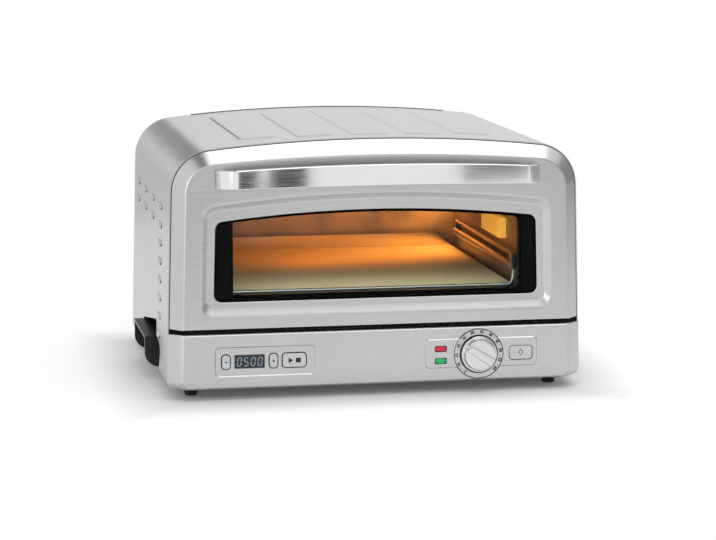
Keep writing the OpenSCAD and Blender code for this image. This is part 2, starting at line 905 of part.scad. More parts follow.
// ---- hinges ----
module hinge_bracket() {
    arm_x = hinge_x - 6;
    difference() {
        union() {
            block([arm_x - 10, arm_x], [bulkhead_y - 1.6, bulkhead_y], [hinge_z - 2, hinge_z + 22]);
            block([arm_x - 2, arm_x], [hinge_y, bulkhead_y], [hinge_z - 2, hinge_z + 7]);
            rod_x([arm_x - 2, arm_x], hinge_y, hinge_z, 7);
        }
        rod_x([arm_x - 3, arm_x + 1], hinge_y, hinge_z, pin_r);
    }
}

module hinge_bracket_left() {
    color("gray") placed() mirror([1, 0, 0]) hinge_bracket();
}

module hinge_bracket_right() {
    color("gray") placed() hinge_bracket();
}

module hinge_pins() {
    color("silver") placed() pair() union() {
        rod_x([hinge_x - 8, hinge_x + 4.5], hinge_y, hinge_z, pin_r);
        rod_x([hinge_x - 9.5, hinge_x - 8], hinge_y, hinge_z, pin_r + 1.6);
    }
}

module door_knuckle() {
    difference() {
        union() {
            block([hinge_x - 5, hinge_x + 4], [sheet, hinge_y], [hinge_z - 5, hinge_z + 5]);
            block([hinge_x - 5, hinge_x + 4], [sheet, sheet + 3], [hinge_z - 5, hinge_z + 26]);
            rod_x([hinge_x - 5, hinge_x + 4], hinge_y, hinge_z, 6);
        }
        rod_x([hinge_x - 6, hinge_x + 5], hinge_y, hinge_z, pin_r + pin_fit);
    }
}

module door_hinge_left() {
    color("gray") placed() mirror([1, 0, 0]) door_knuckle();
}

module door_hinge_right() {
    color("gray") placed() door_knuckle();
}

// ---- controls ----
module control_board() {
    color("darkgreen") placed() difference() {
        block([-board_w / 2, board_w / 2], [board_y, board_y + board_t],
            [control_z - board_h / 2, control_z + board_h / 2]);
        rod_y(dial_x, [board_y - 1, board_y + board_t + 1], control_z, shaft_d / 2 + 1);
    }
}

module display_module() {
    color("black") placed()
        block([display_x - display_w / 2 + 0.5, display_x + display_w / 2 - 0.5], [2.2, board_y],
            [control_z - button_h / 2 + 0.5, control_z + button_h / 2 - 0.5]);
}

module display_lens() {
    color("midnightblue") placed() translate([0, 2.2, 0]) rotate([90, 0, 0])
        linear_extrude(2.4) translate([display_x, control_z]) round_rect(display_w - 0.1, button_h - 0.1, 1);
}

module button_switches() {
    color("black") placed() for (x = [minus_x, plus_x, start_x, light_x]) {
        union() {
            block([x - 3, x + 3], [board_y - 4, board_y], [control_z - 3, control_z + 3]);
            rod_y(x, [switch_y, board_y - 4], control_z, 1.7);
        }
    }
}

module button(x, w, r) {
    color("gainsboro") placed() translate([x, 0, control_z]) rotate([90, 0, 0]) union() {
        translate([0, 0, -2.4]) linear_extrude(3.4) round_rect(w, button_h, r);
        translate([0, 0, -2.4]) linear_extrude(flange_t)
            round_rect(w + 2 * flange_w, button_h + 2 * flange_w, r + flange_w);
        translate([0, 0, -(switch_y - button_travel - 0.2)]) cylinder(h = 3, r = 2);
    }
}

module minus_button() {
    button(minus_x, step_button_w, 3.2);
}

module plus_button() {
    button(plus_x, step_button_w, 3.2);
}

module start_button() {
    button(start_x, button_w, 3.7);
}

module light_button() {
    button(light_x, button_w, 3.7);
}

module lamp_cap(z) {
    translate([lamp_x, 0, z]) rotate([90, 0, 0]) union() {
        translate([0, 0, -2.6]) linear_extrude(3.6) round_rect(lamp_w - 0.1, lamp_h - 0.1, 2);
        translate([0, 0, -2.6]) linear_extrude(flange_t) round_rect(lamp_w + 2, lamp_h + 2, 2);
    }
}

module power_lens() {
    color("crimson") placed() lamp_cap(power_z);
}

module ready_lens() {
    color("limegreen") placed() lamp_cap(ready_z);
}

module indicator_leds() {
    color("white") placed() for (z = [power_z, ready_z]) {
        rod_y(lamp_x, [4, board_y], z, 2.5);
    }
}

module temperature_dial() {
    skirt_h = 3;
    grip_w = 9;
    color("lightgray") placed() translate([dial_x, 0, control_z]) rotate([90, 0, 0]) difference() {
        union() {
            translate([0, 0, dial_clear]) cylinder(h = skirt_h, r = dial_d / 2);
            translate([0, 0, dial_clear]) cylinder(h = dial_h - dial_clear - 3, r = dial_d / 2 - 2);
            rotate([0, 0, dial_rest]) translate([0, 0, 6]) linear_extrude(dial_h - 6)
                intersection() {
                    circle(r = dial_d / 2 - 2.6);
                    square([dial_d, grip_w], center = true);
                }
        }
        translate([0, 0, dial_clear - 1]) cylinder(h = dial_h - dial_clear - 5, r = shaft_d / 2);
    }
}

module dial_shaft() {
    color("silver") placed() rod_y(dial_x, [-(dial_h - 6), board_y - 3], control_z, shaft_d / 2);
}

module dial_ring() {
    color("silver") placed() translate([dial_x, 0, control_z]) rotate([90, 0, 0]) difference() {
        cylinder(h = ring_t, r = ring_d / 2);
        translate([0, 0, -1]) cylinder(h = ring_t + 2, r = shaft_d / 2 + 1);
    }
}

module dial_control() {
    color("gray") placed() difference() {
        rod_y(dial_x, [2, board_y], control_z, 8.5);
        rod_y(dial_x, [1, board_y - 2.5], control_z, shaft_d / 2 + pin_fit);
    }
}

// ---- feet, handles and small parts ----
module foot(x, y) {
    color("black") placed() difference() {
        translate([x, y, 0]) cylinder(h = foot_h, r1 = foot_tip_r, r2 = foot_top_r);
        rod_z(x, y, [-1, 4], screw_r + 2.2);
        rod_z(x, y, [3, foot_h + 1], screw_r + 0.1);
    }
}

module foot_front_left() {
    foot(-foot_x, foot_front_y);
}

module foot_front_right() {
    foot(foot_x, foot_front_y);
}

module foot_rear_left() {
    foot(-foot_x, foot_rear_y);
}

module foot_rear_right() {
    foot(foot_x, foot_rear_y);
}

module foot_screws() {
    color("silver") placed() for (x = [-foot_x, foot_x], y = [foot_front_y, foot_rear_y]) {
        union() {
            rod_z(x, y, [1.6, 4], screw_r + 2);
            rod_z(x, y, [4, foot_h + sheet + 3], screw_r);
        }
    }
}

// Carry handle: a ledge with a curved rib at each end, on a back plate fixed to the base pan
module side_handle() {
    wall = flank_x(grip_z);
    out = wall + grip_reach;
    ledge = 3.2;
    rib = 5;
    drop = grip_z - 17;
    union() {
        block([pan_half, out], [grip_y, grip_y + grip_l], [grip_z - ledge, grip_z]);
        block([pan_half, pan_half + 3], [grip_y, grip_y + grip_l], [foot_h + 2, grip_z]);
        for (y = [grip_y, grip_y + grip_l - rib]) {
            along_y(y, y + rib) difference() {
                union() {
                    translate([pan_half, 29]) square([out - pan_half, grip_z - 29 - ledge / 2]);
                    intersection() {
                        translate([out - 17, 31]) circle(r = 17);
                        translate([pan_half, 14]) square([out - pan_half, 20]);
                    }
                    polygon([[pan_half, 31], [out - 17, 31], [out - 17, 14], [pan_half, 14]]);
                }
            }
        }
    }
}

module side_handle_left() {
    color("black") placed() mirror([1, 0, 0]) side_handle();
}

module side_handle_right() {
    color("black") placed() side_handle();
}

module cord_gland() {
    color("black") placed() difference() {
        union() {
            rod_y(gland_x, [rear_y - 3, rear_y], gland_z, gland_r + 2);
            rod_y(gland_x, [rear_y, rear_y + sheet], gland_z, gland_r);
            rod_y(gland_x, [rear_y + sheet, rear_y + sheet + 5], gland_z, gland_r + 2);
        }
        rod_y(gland_x, [rear_y - 4, rear_y + 9], gland_z, gland_r - 2.6);
    }
}

module rear_screws() {
    color("silver") placed() for (place = rear_screw_places) {
        rod_y(place[0], [rear_y + sheet, rear_y + sheet + 2], place[1], screw_r + 2);
    }
}

outer_shell();
rear_panel();
base_pan();
mouth_frame();
control_fascia();
cavity_floor();
cavity_top();
cavity_left();
cavity_right();
cavity_back();
insulation_blanket();
upper_heater();
lower_heater();
heater_terminals();
rack_rail_left();
rack_rail_right();
stone_carrier();
pizza_stone();
lamp_housing();
lamp_lens();
lamp_bulb();
thermostat_probe();
door_seal();
door_skin();
door_glass();
door_inner_panel();
door_inner_glass();
door_handle();
handle_pads();
handle_screws();
hinge_bracket_left();
hinge_bracket_right();
hinge_pins();
door_hinge_left();
door_hinge_right();
control_board();
display_module();
display_lens();
button_switches();
minus_button();
plus_button();
start_button();
light_button();
power_lens();
ready_lens();
indicator_leds();
temperature_dial();
dial_shaft();
dial_ring();
dial_control();
foot_front_left();
foot_front_right();
foot_rear_left();
foot_rear_right();
foot_screws();
side_handle_left();
side_handle_right();
cord_gland();
rear_screws();
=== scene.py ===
"""Dresses the countertop pizza oven: brushed steel, glass, lit cavity and controls, on a pale floor.

Sizes are millimetres, with y counted from the flat face of the door towards the back. The stage, the camera
and the two studio lamps are in metres.
"""
import json
import math

import bmesh
import bpy
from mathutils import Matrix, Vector

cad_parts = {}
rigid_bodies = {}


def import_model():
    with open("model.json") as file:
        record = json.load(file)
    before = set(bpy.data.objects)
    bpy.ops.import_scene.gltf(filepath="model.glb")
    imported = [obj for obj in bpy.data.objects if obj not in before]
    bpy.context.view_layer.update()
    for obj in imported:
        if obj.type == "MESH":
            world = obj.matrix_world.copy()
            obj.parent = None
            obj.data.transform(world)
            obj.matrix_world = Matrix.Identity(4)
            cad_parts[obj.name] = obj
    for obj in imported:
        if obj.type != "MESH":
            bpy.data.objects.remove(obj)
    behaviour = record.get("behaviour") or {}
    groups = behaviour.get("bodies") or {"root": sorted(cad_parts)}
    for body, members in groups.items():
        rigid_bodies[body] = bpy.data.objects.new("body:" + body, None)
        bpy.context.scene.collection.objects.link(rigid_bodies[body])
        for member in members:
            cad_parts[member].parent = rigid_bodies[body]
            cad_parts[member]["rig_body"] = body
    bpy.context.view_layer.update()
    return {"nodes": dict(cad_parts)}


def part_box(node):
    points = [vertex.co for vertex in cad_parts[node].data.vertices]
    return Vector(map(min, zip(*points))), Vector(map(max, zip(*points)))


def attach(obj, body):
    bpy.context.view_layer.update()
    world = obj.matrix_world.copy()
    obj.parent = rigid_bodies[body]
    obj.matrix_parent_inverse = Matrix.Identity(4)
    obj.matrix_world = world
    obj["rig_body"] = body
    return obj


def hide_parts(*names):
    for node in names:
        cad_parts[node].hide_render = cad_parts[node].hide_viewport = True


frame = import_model()
nodes = frame["nodes"]

MM = 0.001
FACE_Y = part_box("door_skin")[0].y

# ---- driving sizes ----
HALF_W = 237.0
BODY_H = 289.5
BODY_D = 400.0
FOOT_H = 12.5
LEAN = math.radians(1.6)
CROWN_R = 1710.0
CORNER_R = 48.0
BASE_CORNER_R = 9.0
SHEET = 1.2
BEVEL_D = 14.4
BEVEL_SIDE = 15.5
BEVEL_TOP = 18.2
FACE_CROWN_R = 2300.0
SHELL_Y = BEVEL_D + 1.0

DOOR_BASE = 80.0
DOOR_TUCK = 2.0
HINGE_X = 212.0
FASCIA_TOP = 74.8
FLANGE_BACK = 30.0
WINDOW_CROWN_R = 1450.0
WINDOW_DEPTH = 6.0
PANE_Y = WINDOW_DEPTH + SHEET
GLASS_T = 4.0
# the window's outlines from the outside in: half width, foot, crest
WINDOW_HALF, WINDOW_BASE, WINDOW_CREST, WINDOW_CORNER_R = 199.3, 94.0, 230.0, 14.0
RIDGE_HALF, RIDGE_BASE, RIDGE_CREST = 192.3, 103.0, 222.0
VIEW_HALF, VIEW_BASE, VIEW_CREST, VIEW_CORNER_R = 184.3, 109.5, 210.0, 9.0
CLEAR_HALF, CLEAR_LEFT, CLEAR_BASE, CLEAR_CREST = 168.0, -162.0, 112.4, 207.6

HANDLE_HALF = 182.0
HANDLE_REACH = 40.0
HANDLE_BAR = 9.0
HANDLE_BOW_R = 1390.0
HANDLE_BEND_R = 24.0
HANDLE_TOP, HANDLE_TOP_R = 264.9, 2520.0
HANDLE_BOTTOM, HANDLE_BOTTOM_R = 241.8, 4700.0
HANDLE_PAD_T = 1.5

CONTROL_Z = 43.2
BUTTON_W = 26.0
BUTTON_H = 15.4
STEP_BUTTON_W = 8.6
SEEN_GAP = 0.75
BUTTON_PROUD = 1.0
MINUS_X, PLUS_X, START_X, LIGHT_X = -172.1, -118.8, -95.4, 164.2
DISPLAY_X, DISPLAY_W = -145.6, 34.0
LAMP_X, LAMP_W, LAMP_H, LAMP_DZ = 71.6, 14.0, 7.2, 6.9
DIAL_X, DIAL_D, DIAL_H = 115.3, 41.0, 18.0
RING_D, RING_T = 56.0, 1.5
DIAL_REST = math.radians(148)

FIGURE_R, FIGURE_SIZE, FIGURE_COUNT = 25.3, 4.7, 12
RECESS_X, RECESS_W, RECESS_H, RECESS_DEPTH = -128.0, 111.0, 31.5, 0.9
PANEL_X, PANEL_Z, PANEL_W, PANEL_H, PANEL_PROUD = 118.2, 44.6, 128.0, 31.4, 0.95
COMB_COUNT, COMB_PITCH, COMB_HALF_SLOT = 44, 9.6, 3.0

GRIP_Y, GRIP_L, GRIP_Z = 140.0, 122.0, 50.5
LOUVRE_L, LOUVRE_H = 30.0, 5.0
LOUVRE_COLUMNS, LOUVRE_FIRST_Y, LOUVRE_STEP_Y = 4, 104.0, 82.0
LOUVRE_ROWS, LOUVRE_TOP_Z, LOUVRE_STEP_Z = 8, 205.5, 21.0
HOOD_H, HOOD_RISE, HOOD_T = 7.0, 1.7, 0.5
PAD_COUNT, PAD_PITCH, PAD_W, PAD_FRONT, PAD_SWEEP, PAD_BACK, PAD_RISE = 5, 62.0, 40.0, 46.0, 26.0, 342.0, 1.2


def place(x, y, z):
    """A point of the part, in metres, from millimetres with y counted from the door's face."""
    return Vector((x * MM, y * MM + FACE_Y, z * MM))


def flank_x(z):
    """Half the body's width at a height: the sides lean in towards the top."""
    return HALF_W - (z - FOOT_H) * math.tan(LEAN)


# ---- outlines: lists of (x, z), each kind with its own fixed number of points ----
def arc(cx, cz, r, start, end, steps):
    """Points on an arc, angles in radians, both ends included."""
    turns = (start + (end - start) * i / steps for i in range(steps + 1))
    return [(cx + r * math.cos(a), cz + r * math.sin(a)) for a in turns]


def domed(half, base, crest, top_r, corner_r, base_r, inset=0.0):
    """Closed outline with leaning flanks, a domed top and round corners, from the lower right round."""
    t = math.tan(LEAN)
    flank = half - corner_r / math.cos(LEAN) + base * t
    centre = crest - top_r
    reach = top_r - corner_r
    a = 1 + t * t
    b = flank * t + centre
    c = flank * flank + centre * centre - reach * reach
    zc = (b + math.sqrt(b * b - a * c)) / a
    xc = flank - t * zc
    foot_r = max(base_r - inset, 0.3)
    z_foot = base + inset + foot_r
    r = corner_r - inset
    x_foot = xc + r * math.cos(LEAN) + (zc + r * math.sin(LEAN) - z_foot) * t
    crown_start = math.atan2(zc - centre, xc)
    right = arc(x_foot - foot_r, z_foot, foot_r, -math.pi / 2, 0, 6)
    low, high = right[-1], (xc + r * math.cos(LEAN), zc + r * math.sin(LEAN))
    right += [tuple(low[k] + (high[k] - low[k]) * i / 6 for k in (0, 1)) for i in range(1, 6)]
    right += arc(xc, zc, r, LEAN, crown_start, 14)
    crown = arc(0, centre, top_r - inset, crown_start, math.pi - crown_start, 48)[1:-1]
    left = [(-x, z) for x, z in reversed(right)]
    floor_half = x_foot - foot_r
    base_line = [(-floor_half + 2 * floor_half * i / 12, base + inset) for i in range(1, 12)]
    return right + crown + left + base_line


def slab(half, top, inset=0.0):
    """Closed outline of the lower slice of the body, with a straight top."""
    r = BASE_CORNER_R - inset
    x_foot = half - inset / math.cos(LEAN) - BASE_CORNER_R * math.tan(LEAN)
    high = top - inset
    right = arc(x_foot - r, FOOT_H + BASE_CORNER_R, r, -math.pi / 2, 0, 8)
    x_top = x_foot - (high - FOOT_H - BASE_CORNER_R) * math.tan(LEAN)
    right += arc(x_top - 0.8, high - 0.8, 0.8, 0, math.pi / 2, 3)
    left = [(-x, z) for x, z in reversed(right)]
    return right + left


def rounded_rect(cx, cz, w, h, r, steps=5):
    corners = [(1, -1, -90), (1, 1, 0), (-1, 1, 90), (-1, -1, 180)]
    points = []
    for sx, sz, start in corners:
        a = math.radians(start)
        points += arc(cx + sx * (w / 2 - r), cz + sz * (h / 2 - r), r, a, a + math.pi / 2, steps)
    return points


def between(one, other, share):
    return [tuple(a[k] + (b[k] - a[k]) * share for k in (0, 1)) for a, b in zip(one, other)]


def body_outline(inset=0.0):
    return domed(HALF_W, FOOT_H, BODY_H, CROWN_R, CORNER_R, BASE_CORNER_R, inset)


def door_outline(inset=0.0):
    return domed(flank_x(DOOR_BASE) - DOOR_TUCK, DOOR_BASE, BODY_H - DOOR_TUCK, CROWN_R - DOOR_TUCK,
                 CORNER_R - DOOR_TUCK, 0, inset)


def face_outline(inset=0.0):
    half = flank_x(DOOR_BASE) - BEVEL_SIDE
    return domed(half, DOOR_BASE, BODY_H - BEVEL_TOP, FACE_CROWN_R, CORNER_R - BEVEL_SIDE, 0, inset)


def window_outline(inset=0.0):
    return domed(WINDOW_HALF, WINDOW_BASE, WINDOW_CREST, WINDOW_CROWN_R, WINDOW_CORNER_R, WINDOW_CORNER_R,
                 inset)


def ridge_outline(inset=0.0):
    return domed(RIDGE_HALF, RIDGE_BASE, RIDGE_CREST, WINDOW_CROWN_R, 10, 8, inset)


def view_outline(inset=0.0):
    return domed(VIEW_HALF, VIEW_BASE, VIEW_CREST, WINDOW_CROWN_R, VIEW_CORNER_R, VIEW_CORNER_R, inset)


# ---- meshes ----
def ring(points, y):
    return [(x, y, z) for x, z in points]


def loft(rings, closed=True, first_cap=False, last_cap=False, wrap=False):
    """Points and faces of a skin through rings of the same number of points."""
    n = len(rings[0])
    points = [p for r in rings for p in r]
    faces = []
    pairs = [(i, i + 1) for i in range(len(rings) - 1)]
    if wrap:
        pairs.append((len(rings) - 1, 0))
    for lower, upper in pairs:
        for k in range(n if closed else n - 1):
            j = (k + 1) % n
            faces.append((lower * n + k, lower * n + j, upper * n + j, upper * n + k))
    if first_cap:
        faces.append(tuple(range(n)))
    if last_cap:
        faces.append(tuple((len(rings) - 1) * n + k for k in range(n)))
    return points, faces


def shade(bm, limit):
    """Smooth shading with edges sharper than limit, in degrees, kept crisp."""
    limit = math.radians(limit)
    for face in bm.faces:
        face.smooth = True
    for edge in bm.edges:
        edge.smooth = edge.is_manifold and edge.calc_face_angle(0) < limit


def finish_mesh(name, bm, coat, body, stands_for=(), limit=32, weigh=True):
    bmesh.ops.recalc_face_normals(bm, faces=bm.faces)
    shade(bm, limit)
    mesh = bpy.data.meshes.new(name)
    bm.to_mesh(mesh)
    bm.free()
    piece = bpy.data.objects.new(name, mesh)
    bpy.context.scene.collection.objects.link(piece)
    mesh.materials.append(coat)
    if weigh:
        weighted = piece.modifiers.new("weighted", "WEIGHTED_NORMAL")
        weighted.keep_sharp = True
    if body:
        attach(piece, body)
    if stands_for:
        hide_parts(*stands_for)
    return piece


def mesh_of(points, faces):
    bm = bmesh.new()
    corners = [bm.verts.new(place(*p)) for p in points]
    for face in faces:
        bm.faces.new([corners[i] for i in face])
    bmesh.ops.recalc_face_normals(bm, faces=bm.faces)
    return bm


def soften(bm, radius, limit=35, segments=2):
    """Rounds every edge sharper than limit, in degrees, by radius, in millimetres."""
    sharp = [e for e in bm.edges if e.is_manifold and e.calc_face_angle(0) > math.radians(limit)]
    bmesh.ops.bevel(bm, geom=sharp, offset=radius * MM, segments=segments, profile=0.5,
                    affect="EDGES", clamp_overlap=True)


def prism(outline, y0, y1):
    return loft([ring(outline, y0), ring(outline, y1)], first_cap=True, last_cap=True)


def frame_of(outside, inside, y0, y1):
    """A flat frame between two outlines, from y0 to y1."""
    return loft([ring(outside, y0), ring(inside, y0), ring(inside, y1), ring(outside, y1)], wrap=True)


def joined(parts):
    """One list of points and faces from several."""
    points, faces = [], []
    for some_points, some_faces in parts:
        start = len(points)
        points += some_points
        faces += [tuple(i + start for i in face) for face in some_faces]
    return points, faces


def block(x, y, z):
    corners = [(x[i], y[j], z[k]) for i in (0, 1) for j in (0, 1) for k in (0, 1)]
    return corners, [(0, 1, 3, 2), (4, 6, 7, 5), (0, 4, 5, 1), (2, 3, 7, 6), (0, 2, 6, 4), (1, 5, 7, 3)]


def cut(bm, cutter_shapes):
    """The mesh with closed shapes cut out of it."""
    whole = bpy.data.meshes.new("whole")
    bm.to_mesh(whole)
    bm.free()
    target = bpy.data.objects.new("whole", whole)
    tool_bm = mesh_of(*joined(cutter_shapes))
    tool_mesh = bpy.data.meshes.new("tool")
    tool_bm.to_mesh(tool_mesh)
    tool_bm.free()
    tool = bpy.data.objects.new("tool", tool_mesh)
    for thing in (target, tool):
        bpy.context.scene.collection.objects.link(thing)
    boolean = target.modifiers.new("cut", "BOOLEAN")
    boolean.operation = "DIFFERENCE"
    boolean.solver = "EXACT"
    boolean.object = tool
    result = bmesh.new()
    depsgraph = bpy.context.evaluated_depsgraph_get()
    result.from_object(target, depsgraph)
    for thing in (target, tool):
        data = thing.data
        bpy.data.objects.remove(thing)
        bpy.data.meshes.remove(data)
    return result


def cad_copy(node, coat, radius=0.0, limit=35):
    """A piece with the node's own shape and softened edges, which stands for the node."""
    bm = bmesh.new()
    bm.from_mesh(nodes[node].data)
    bmesh.ops.remove_doubles(bm, verts=bm.verts, dist=0.002 * MM)
    bmesh.ops.dissolve_limit(bm, angle_limit=math.radians(0.5), verts=bm.verts, edges=bm.edges)
    if radius:
        soften(bm, radius)
    return finish_mesh(node + "_dressed", bm, coat, nodes[node]["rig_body"], (node,), limit)


# ---- materials ----
def linear(hex_colour):
    """Linear RGBA from an sRGB hex value."""
    levels = [int(hex_colour[i:i + 2], 16) / 255 for i in (1, 3, 5)]
    return tuple(v / 12.92 if v <= 0.04045 else ((v + 0.055) / 1.055) ** 2.4 for v in levels) + (1.0,)


def add(tree, kind, inputs=None, **settings):
    """Adds a node, with its settings, plain input values and links from other nodes' outputs."""
    node = tree.nodes.new(kind)
    for name, value in settings.items():
        setattr(node, name, value)
    for name, value in (inputs or {}).items():
        socket = node.inputs[name]
        if isinstance(value, bpy.types.NodeSocket):
            tree.links.new(value, socket)
        else:
            socket.default_value = value
    return node


def new_material(name, **shader_values):
    """A material with its Principled shader, its tree and the part's own coordinates in metres."""
    coat = bpy.data.materials.new(name)
    coat.use_nodes = True
    tree = coat.node_tree
    shader = tree.nodes["Principled BSDF"]
    for socket, value in shader_values.items():
        shader.inputs[socket.replace("_", " ")].default_value = value
    where = add(tree, "ShaderNodeTexCoord").outputs["Object"]
    return coat, tree, shader, where


def stretched(tree, where, x, y, z):
    """Coordinates in which one unit is x, y and z millimetres along each axis."""
    scale = (1 / (x * MM), 1 / (y * MM), 1 / (z * MM))
    return add(tree, "ShaderNodeMapping", {"Vector": where, "Scale": scale}).outputs["Vector"]


def ranged(tree, value, low, high, from_low=0.0, from_high=1.0):
    return add(tree, "ShaderNodeMapRange", {"Value": value, "From Min": from_low, "From Max": from_high,
                                            "To Min": low, "To Max": high}).outputs["Result"]


def brushed_steel(name, grain, dark, light, rough=0.3, depth=0.012):
    """Stainless sheet brushed with a belt. grain is the length of the scratches along x, y and z, in mm:
    long along the belt and fine across it, so highlights run out in soft streaks."""
    coat, tree, shader, where = new_material(name, Metallic=1.0)
    scratches = add(tree, "ShaderNodeTexNoise", {"Vector": stretched(tree, where, *grain), "Scale": 1.0,
                                                 "Detail": 4.0, "Roughness": 0.65}).outputs["Fac"]
    broad = add(tree, "ShaderNodeTexNoise", {"Vector": stretched(tree, where, 160, 160, 90), "Scale": 1.0,
                                             "Detail": 1.0}).outputs["Fac"]
    blend = add(tree, "ShaderNodeMath", {0: ranged(tree, scratches, 0.0, 0.75, 0.3, 0.7),
                                         1: ranged(tree, broad, 0.0, 0.25, 0.3, 0.7)}, operation="ADD")
    tone = add(tree, "ShaderNodeMix", {"Factor": blend.outputs[0], "A": linear(dark), "B": linear(light)},
               data_type="RGBA")
    tree.links.new(tone.outputs["Result"], shader.inputs["Base Color"])
    tree.links.new(ranged(tree, scratches, rough - 0.05, rough + 0.07, 0.3, 0.7), shader.inputs["Roughness"])
    bump = add(tree, "ShaderNodeBump", {"Strength": 0.35, "Distance": depth * MM, "Height": scratches})
    tree.links.new(bump.outputs["Normal"], shader.inputs["Normal"])
    return coat


def moulded(name, dark, light, rough, grit, depth, shine=0.5):
    """Moulded plastic or rubber: grit is the size of its fine surface grain in mm, depth its height."""
    coat, tree, shader, where = new_material(name, Specular_IOR_Level=shine)
    grain = add(tree, "ShaderNodeTexNoise", {"Vector": stretched(tree, where, grit, grit, grit), "Scale": 1.0,
                                             "Detail": 2.0}).outputs["Fac"]
    cloud = add(tree, "ShaderNodeTexNoise", {"Vector": stretched(tree, where, 40, 40, 40), "Scale": 1.0,
                                             "Detail": 1.0}).outputs["Fac"]
    tone = add(tree, "ShaderNodeMix", {"Factor": cloud, "A": linear(dark), "B": linear(light)},
               data_type="RGBA")
    tree.links.new(tone.outputs["Result"], shader.inputs["Base Color"])
    tree.links.new(ranged(tree, grain, rough - 0.05, rough + 0.05), shader.inputs["Roughness"])
    bump = add(tree, "ShaderNodeBump", {"Strength": 0.4, "Distance": depth * MM, "Height": grain})
    tree.links.new(bump.outputs["Normal"], shader.inputs["Normal"])
    return coat


def plain_metal(name, dark, light, rough, blotch):
    """Drawn or rolled metal without a brushed grain: blotch is the size of its cloudy tone in mm."""
    coat, tree, shader, where = new_material(name, Metallic=1.0)
    cloud = add(tree, "ShaderNodeTexNoise", {"Vector": stretched(tree, where, blotch, blotch, blotch),
                                             "Scale": 1.0, "Detail": 5.0}).outputs["Fac"]
    tone = add(tree, "ShaderNodeMix", {"Factor": ranged(tree, cloud, 0, 1, 0.3, 0.7), "A": linear(dark),
                                       "B": linear(light)}, data_type="RGBA")
    tree.links.new(tone.outputs["Result"], shader.inputs["Base Color"])
    tree.links.new(ranged(tree, cloud, rough - 0.06, rough + 0.06, 0.3, 0.7), shader.inputs["Roughness"])
    return coat


def oven_glass(name, tint):
    """Float glass, clear and polished. Its coating against reflections is given by a low index, and lamps
    shine through it as they do through a thin pane."""
    coat, tree, shader, _ = new_material(name, IOR=1.1, Transmission_Weight=1.0, Roughness=0.0)
    shader.inputs["Base Color"].default_value = linear(tint)
    clear = add(tree, "ShaderNodeBsdfTransparent", {"Color": linear(tint)})
    path = add(tree, "ShaderNodeLightPath")
    pick = add(tree, "ShaderNodeMixShader", {0: path.outputs["Is Shadow Ray"], 1: shader.outputs["BSDF"],
                                             2: clear.outputs["BSDF"]})
    tree.links.new(pick.outputs["Shader"], tree.nodes["Material Output"].inputs["Surface"])
    return coat


def fired_stone(name):
    """Cordierite baking stone: dry and pale, with fine dark and light grit of about a millimetre."""
    coat, tree, shader, where = new_material(name, Roughness=0.85, IOR=1.5)
    grit = add(tree, "ShaderNodeTexNoise", {"Vector": stretched(tree, where, 1.4, 1.4, 1.4), "Scale": 1.0,
                                            "Detail": 3.0}).outputs["Fac"]
    stain = add(tree, "ShaderNodeTexNoise", {"Vector": stretched(tree, where, 90, 60, 60), "Scale": 1.0,
                                             "Detail": 3.0}).outputs["Fac"]
    mix = add(tree, "ShaderNodeMath", {0: ranged(tree, grit, 0.0, 0.5), 1: ranged(tree, stain, 0.0, 0.5)},
              operation="ADD")
    tone = add(tree, "ShaderNodeMix", {"Factor": mix.outputs[0], "A": linear("#978B74"),
                                       "B": linear("#BEB49B")}, data_type="RGBA")
    tree.links.new(tone.outputs["Result"], shader.inputs["Base Color"])
    bump = add(tree, "ShaderNodeBump", {"Strength": 0.5, "Distance": 0.15 * MM, "Height": grit})
    tree.links.new(bump.outputs["Normal"], shader.inputs["Normal"])
    return coat


def mineral_wool(name):
    """Matted glass and mineral fibre: white, fully rough, with fibres a few millimetres long."""
    coat, tree, shader, where = new_material(name, Roughness=1.0)
    fibre = add(tree, "ShaderNodeTexNoise", {"Vector": stretched(tree, where, 3, 3, 1.2), "Scale": 1.0,
                                             "Detail": 6.0, "Distortion": 1.2}).outputs["Fac"]
    tone = add(tree, "ShaderNodeMix", {"Factor": fibre, "A": linear("#C9C6BC"), "B": linear("#EFECE2")},
               data_type="RGBA")
    tree.links.new(tone.outputs["Result"], shader.inputs["Base Color"])
    bump = add(tree, "ShaderNodeBump", {"Strength": 0.8, "Distance": 0.6 * MM, "Height": fibre})
    tree.links.new(bump.outputs["Normal"], shader.inputs["Normal"])
    return coat


def lit_plastic(name, colour, strength):
    """Clear tinted plastic with a lamp behind it: its glow ripples softly across the cap."""
    coat, tree, shader, where = new_material(name, Roughness=0.25, IOR=1.49, Emission_Strength=strength)
    ripple = add(tree, "ShaderNodeTexNoise", {"Vector": stretched(tree, where, 3.5, 3.5, 2.5), "Scale": 1.0,
                                              "Detail": 1.0}).outputs["Fac"]
    tone = add(tree, "ShaderNodeMix", {"Factor": ripple, "A": linear(colour[0]), "B": linear(colour[1])},
               data_type="RGBA")
    for socket in ("Base Color", "Emission Color"):
        tree.links.new(tone.outputs["Result"], shader.inputs[socket])
    return coat


# belt-brushed stainless sheet, scratches across the front: level streaks and a soft sheen
steel_front = brushed_steel("brushed_steel_front", (55, 55, 0.35), "#BCBCBC", "#CBCBCB")
# the same sheet wrapped with its grain from front to back
steel_shell = brushed_steel("brushed_steel_shell", (0.35, 60, 0.35), "#B4B5B6", "#C4C5C6", rough=0.3)
# finely brushed and then polished bar: nearly a mirror along its length
steel_handle = brushed_steel("brushed_steel_handle", (40, 40, 0.3), "#E2E2E2", "#E8E8E8",
                             rough=0.1, depth=0.004)
# satin chrome over plastic: pale and even, without streaks
steel_dial = brushed_steel("satin_chrome_dial", (50, 50, 50), "#D4D4D4", "#DADADA", rough=0.24, depth=0.002)
# aluminium spun to a matt ring that carries print well
steel_ring = brushed_steel("spun_aluminium_ring", (4, 4, 4), "#BDBDBB", "#D2D2D0", rough=0.35)
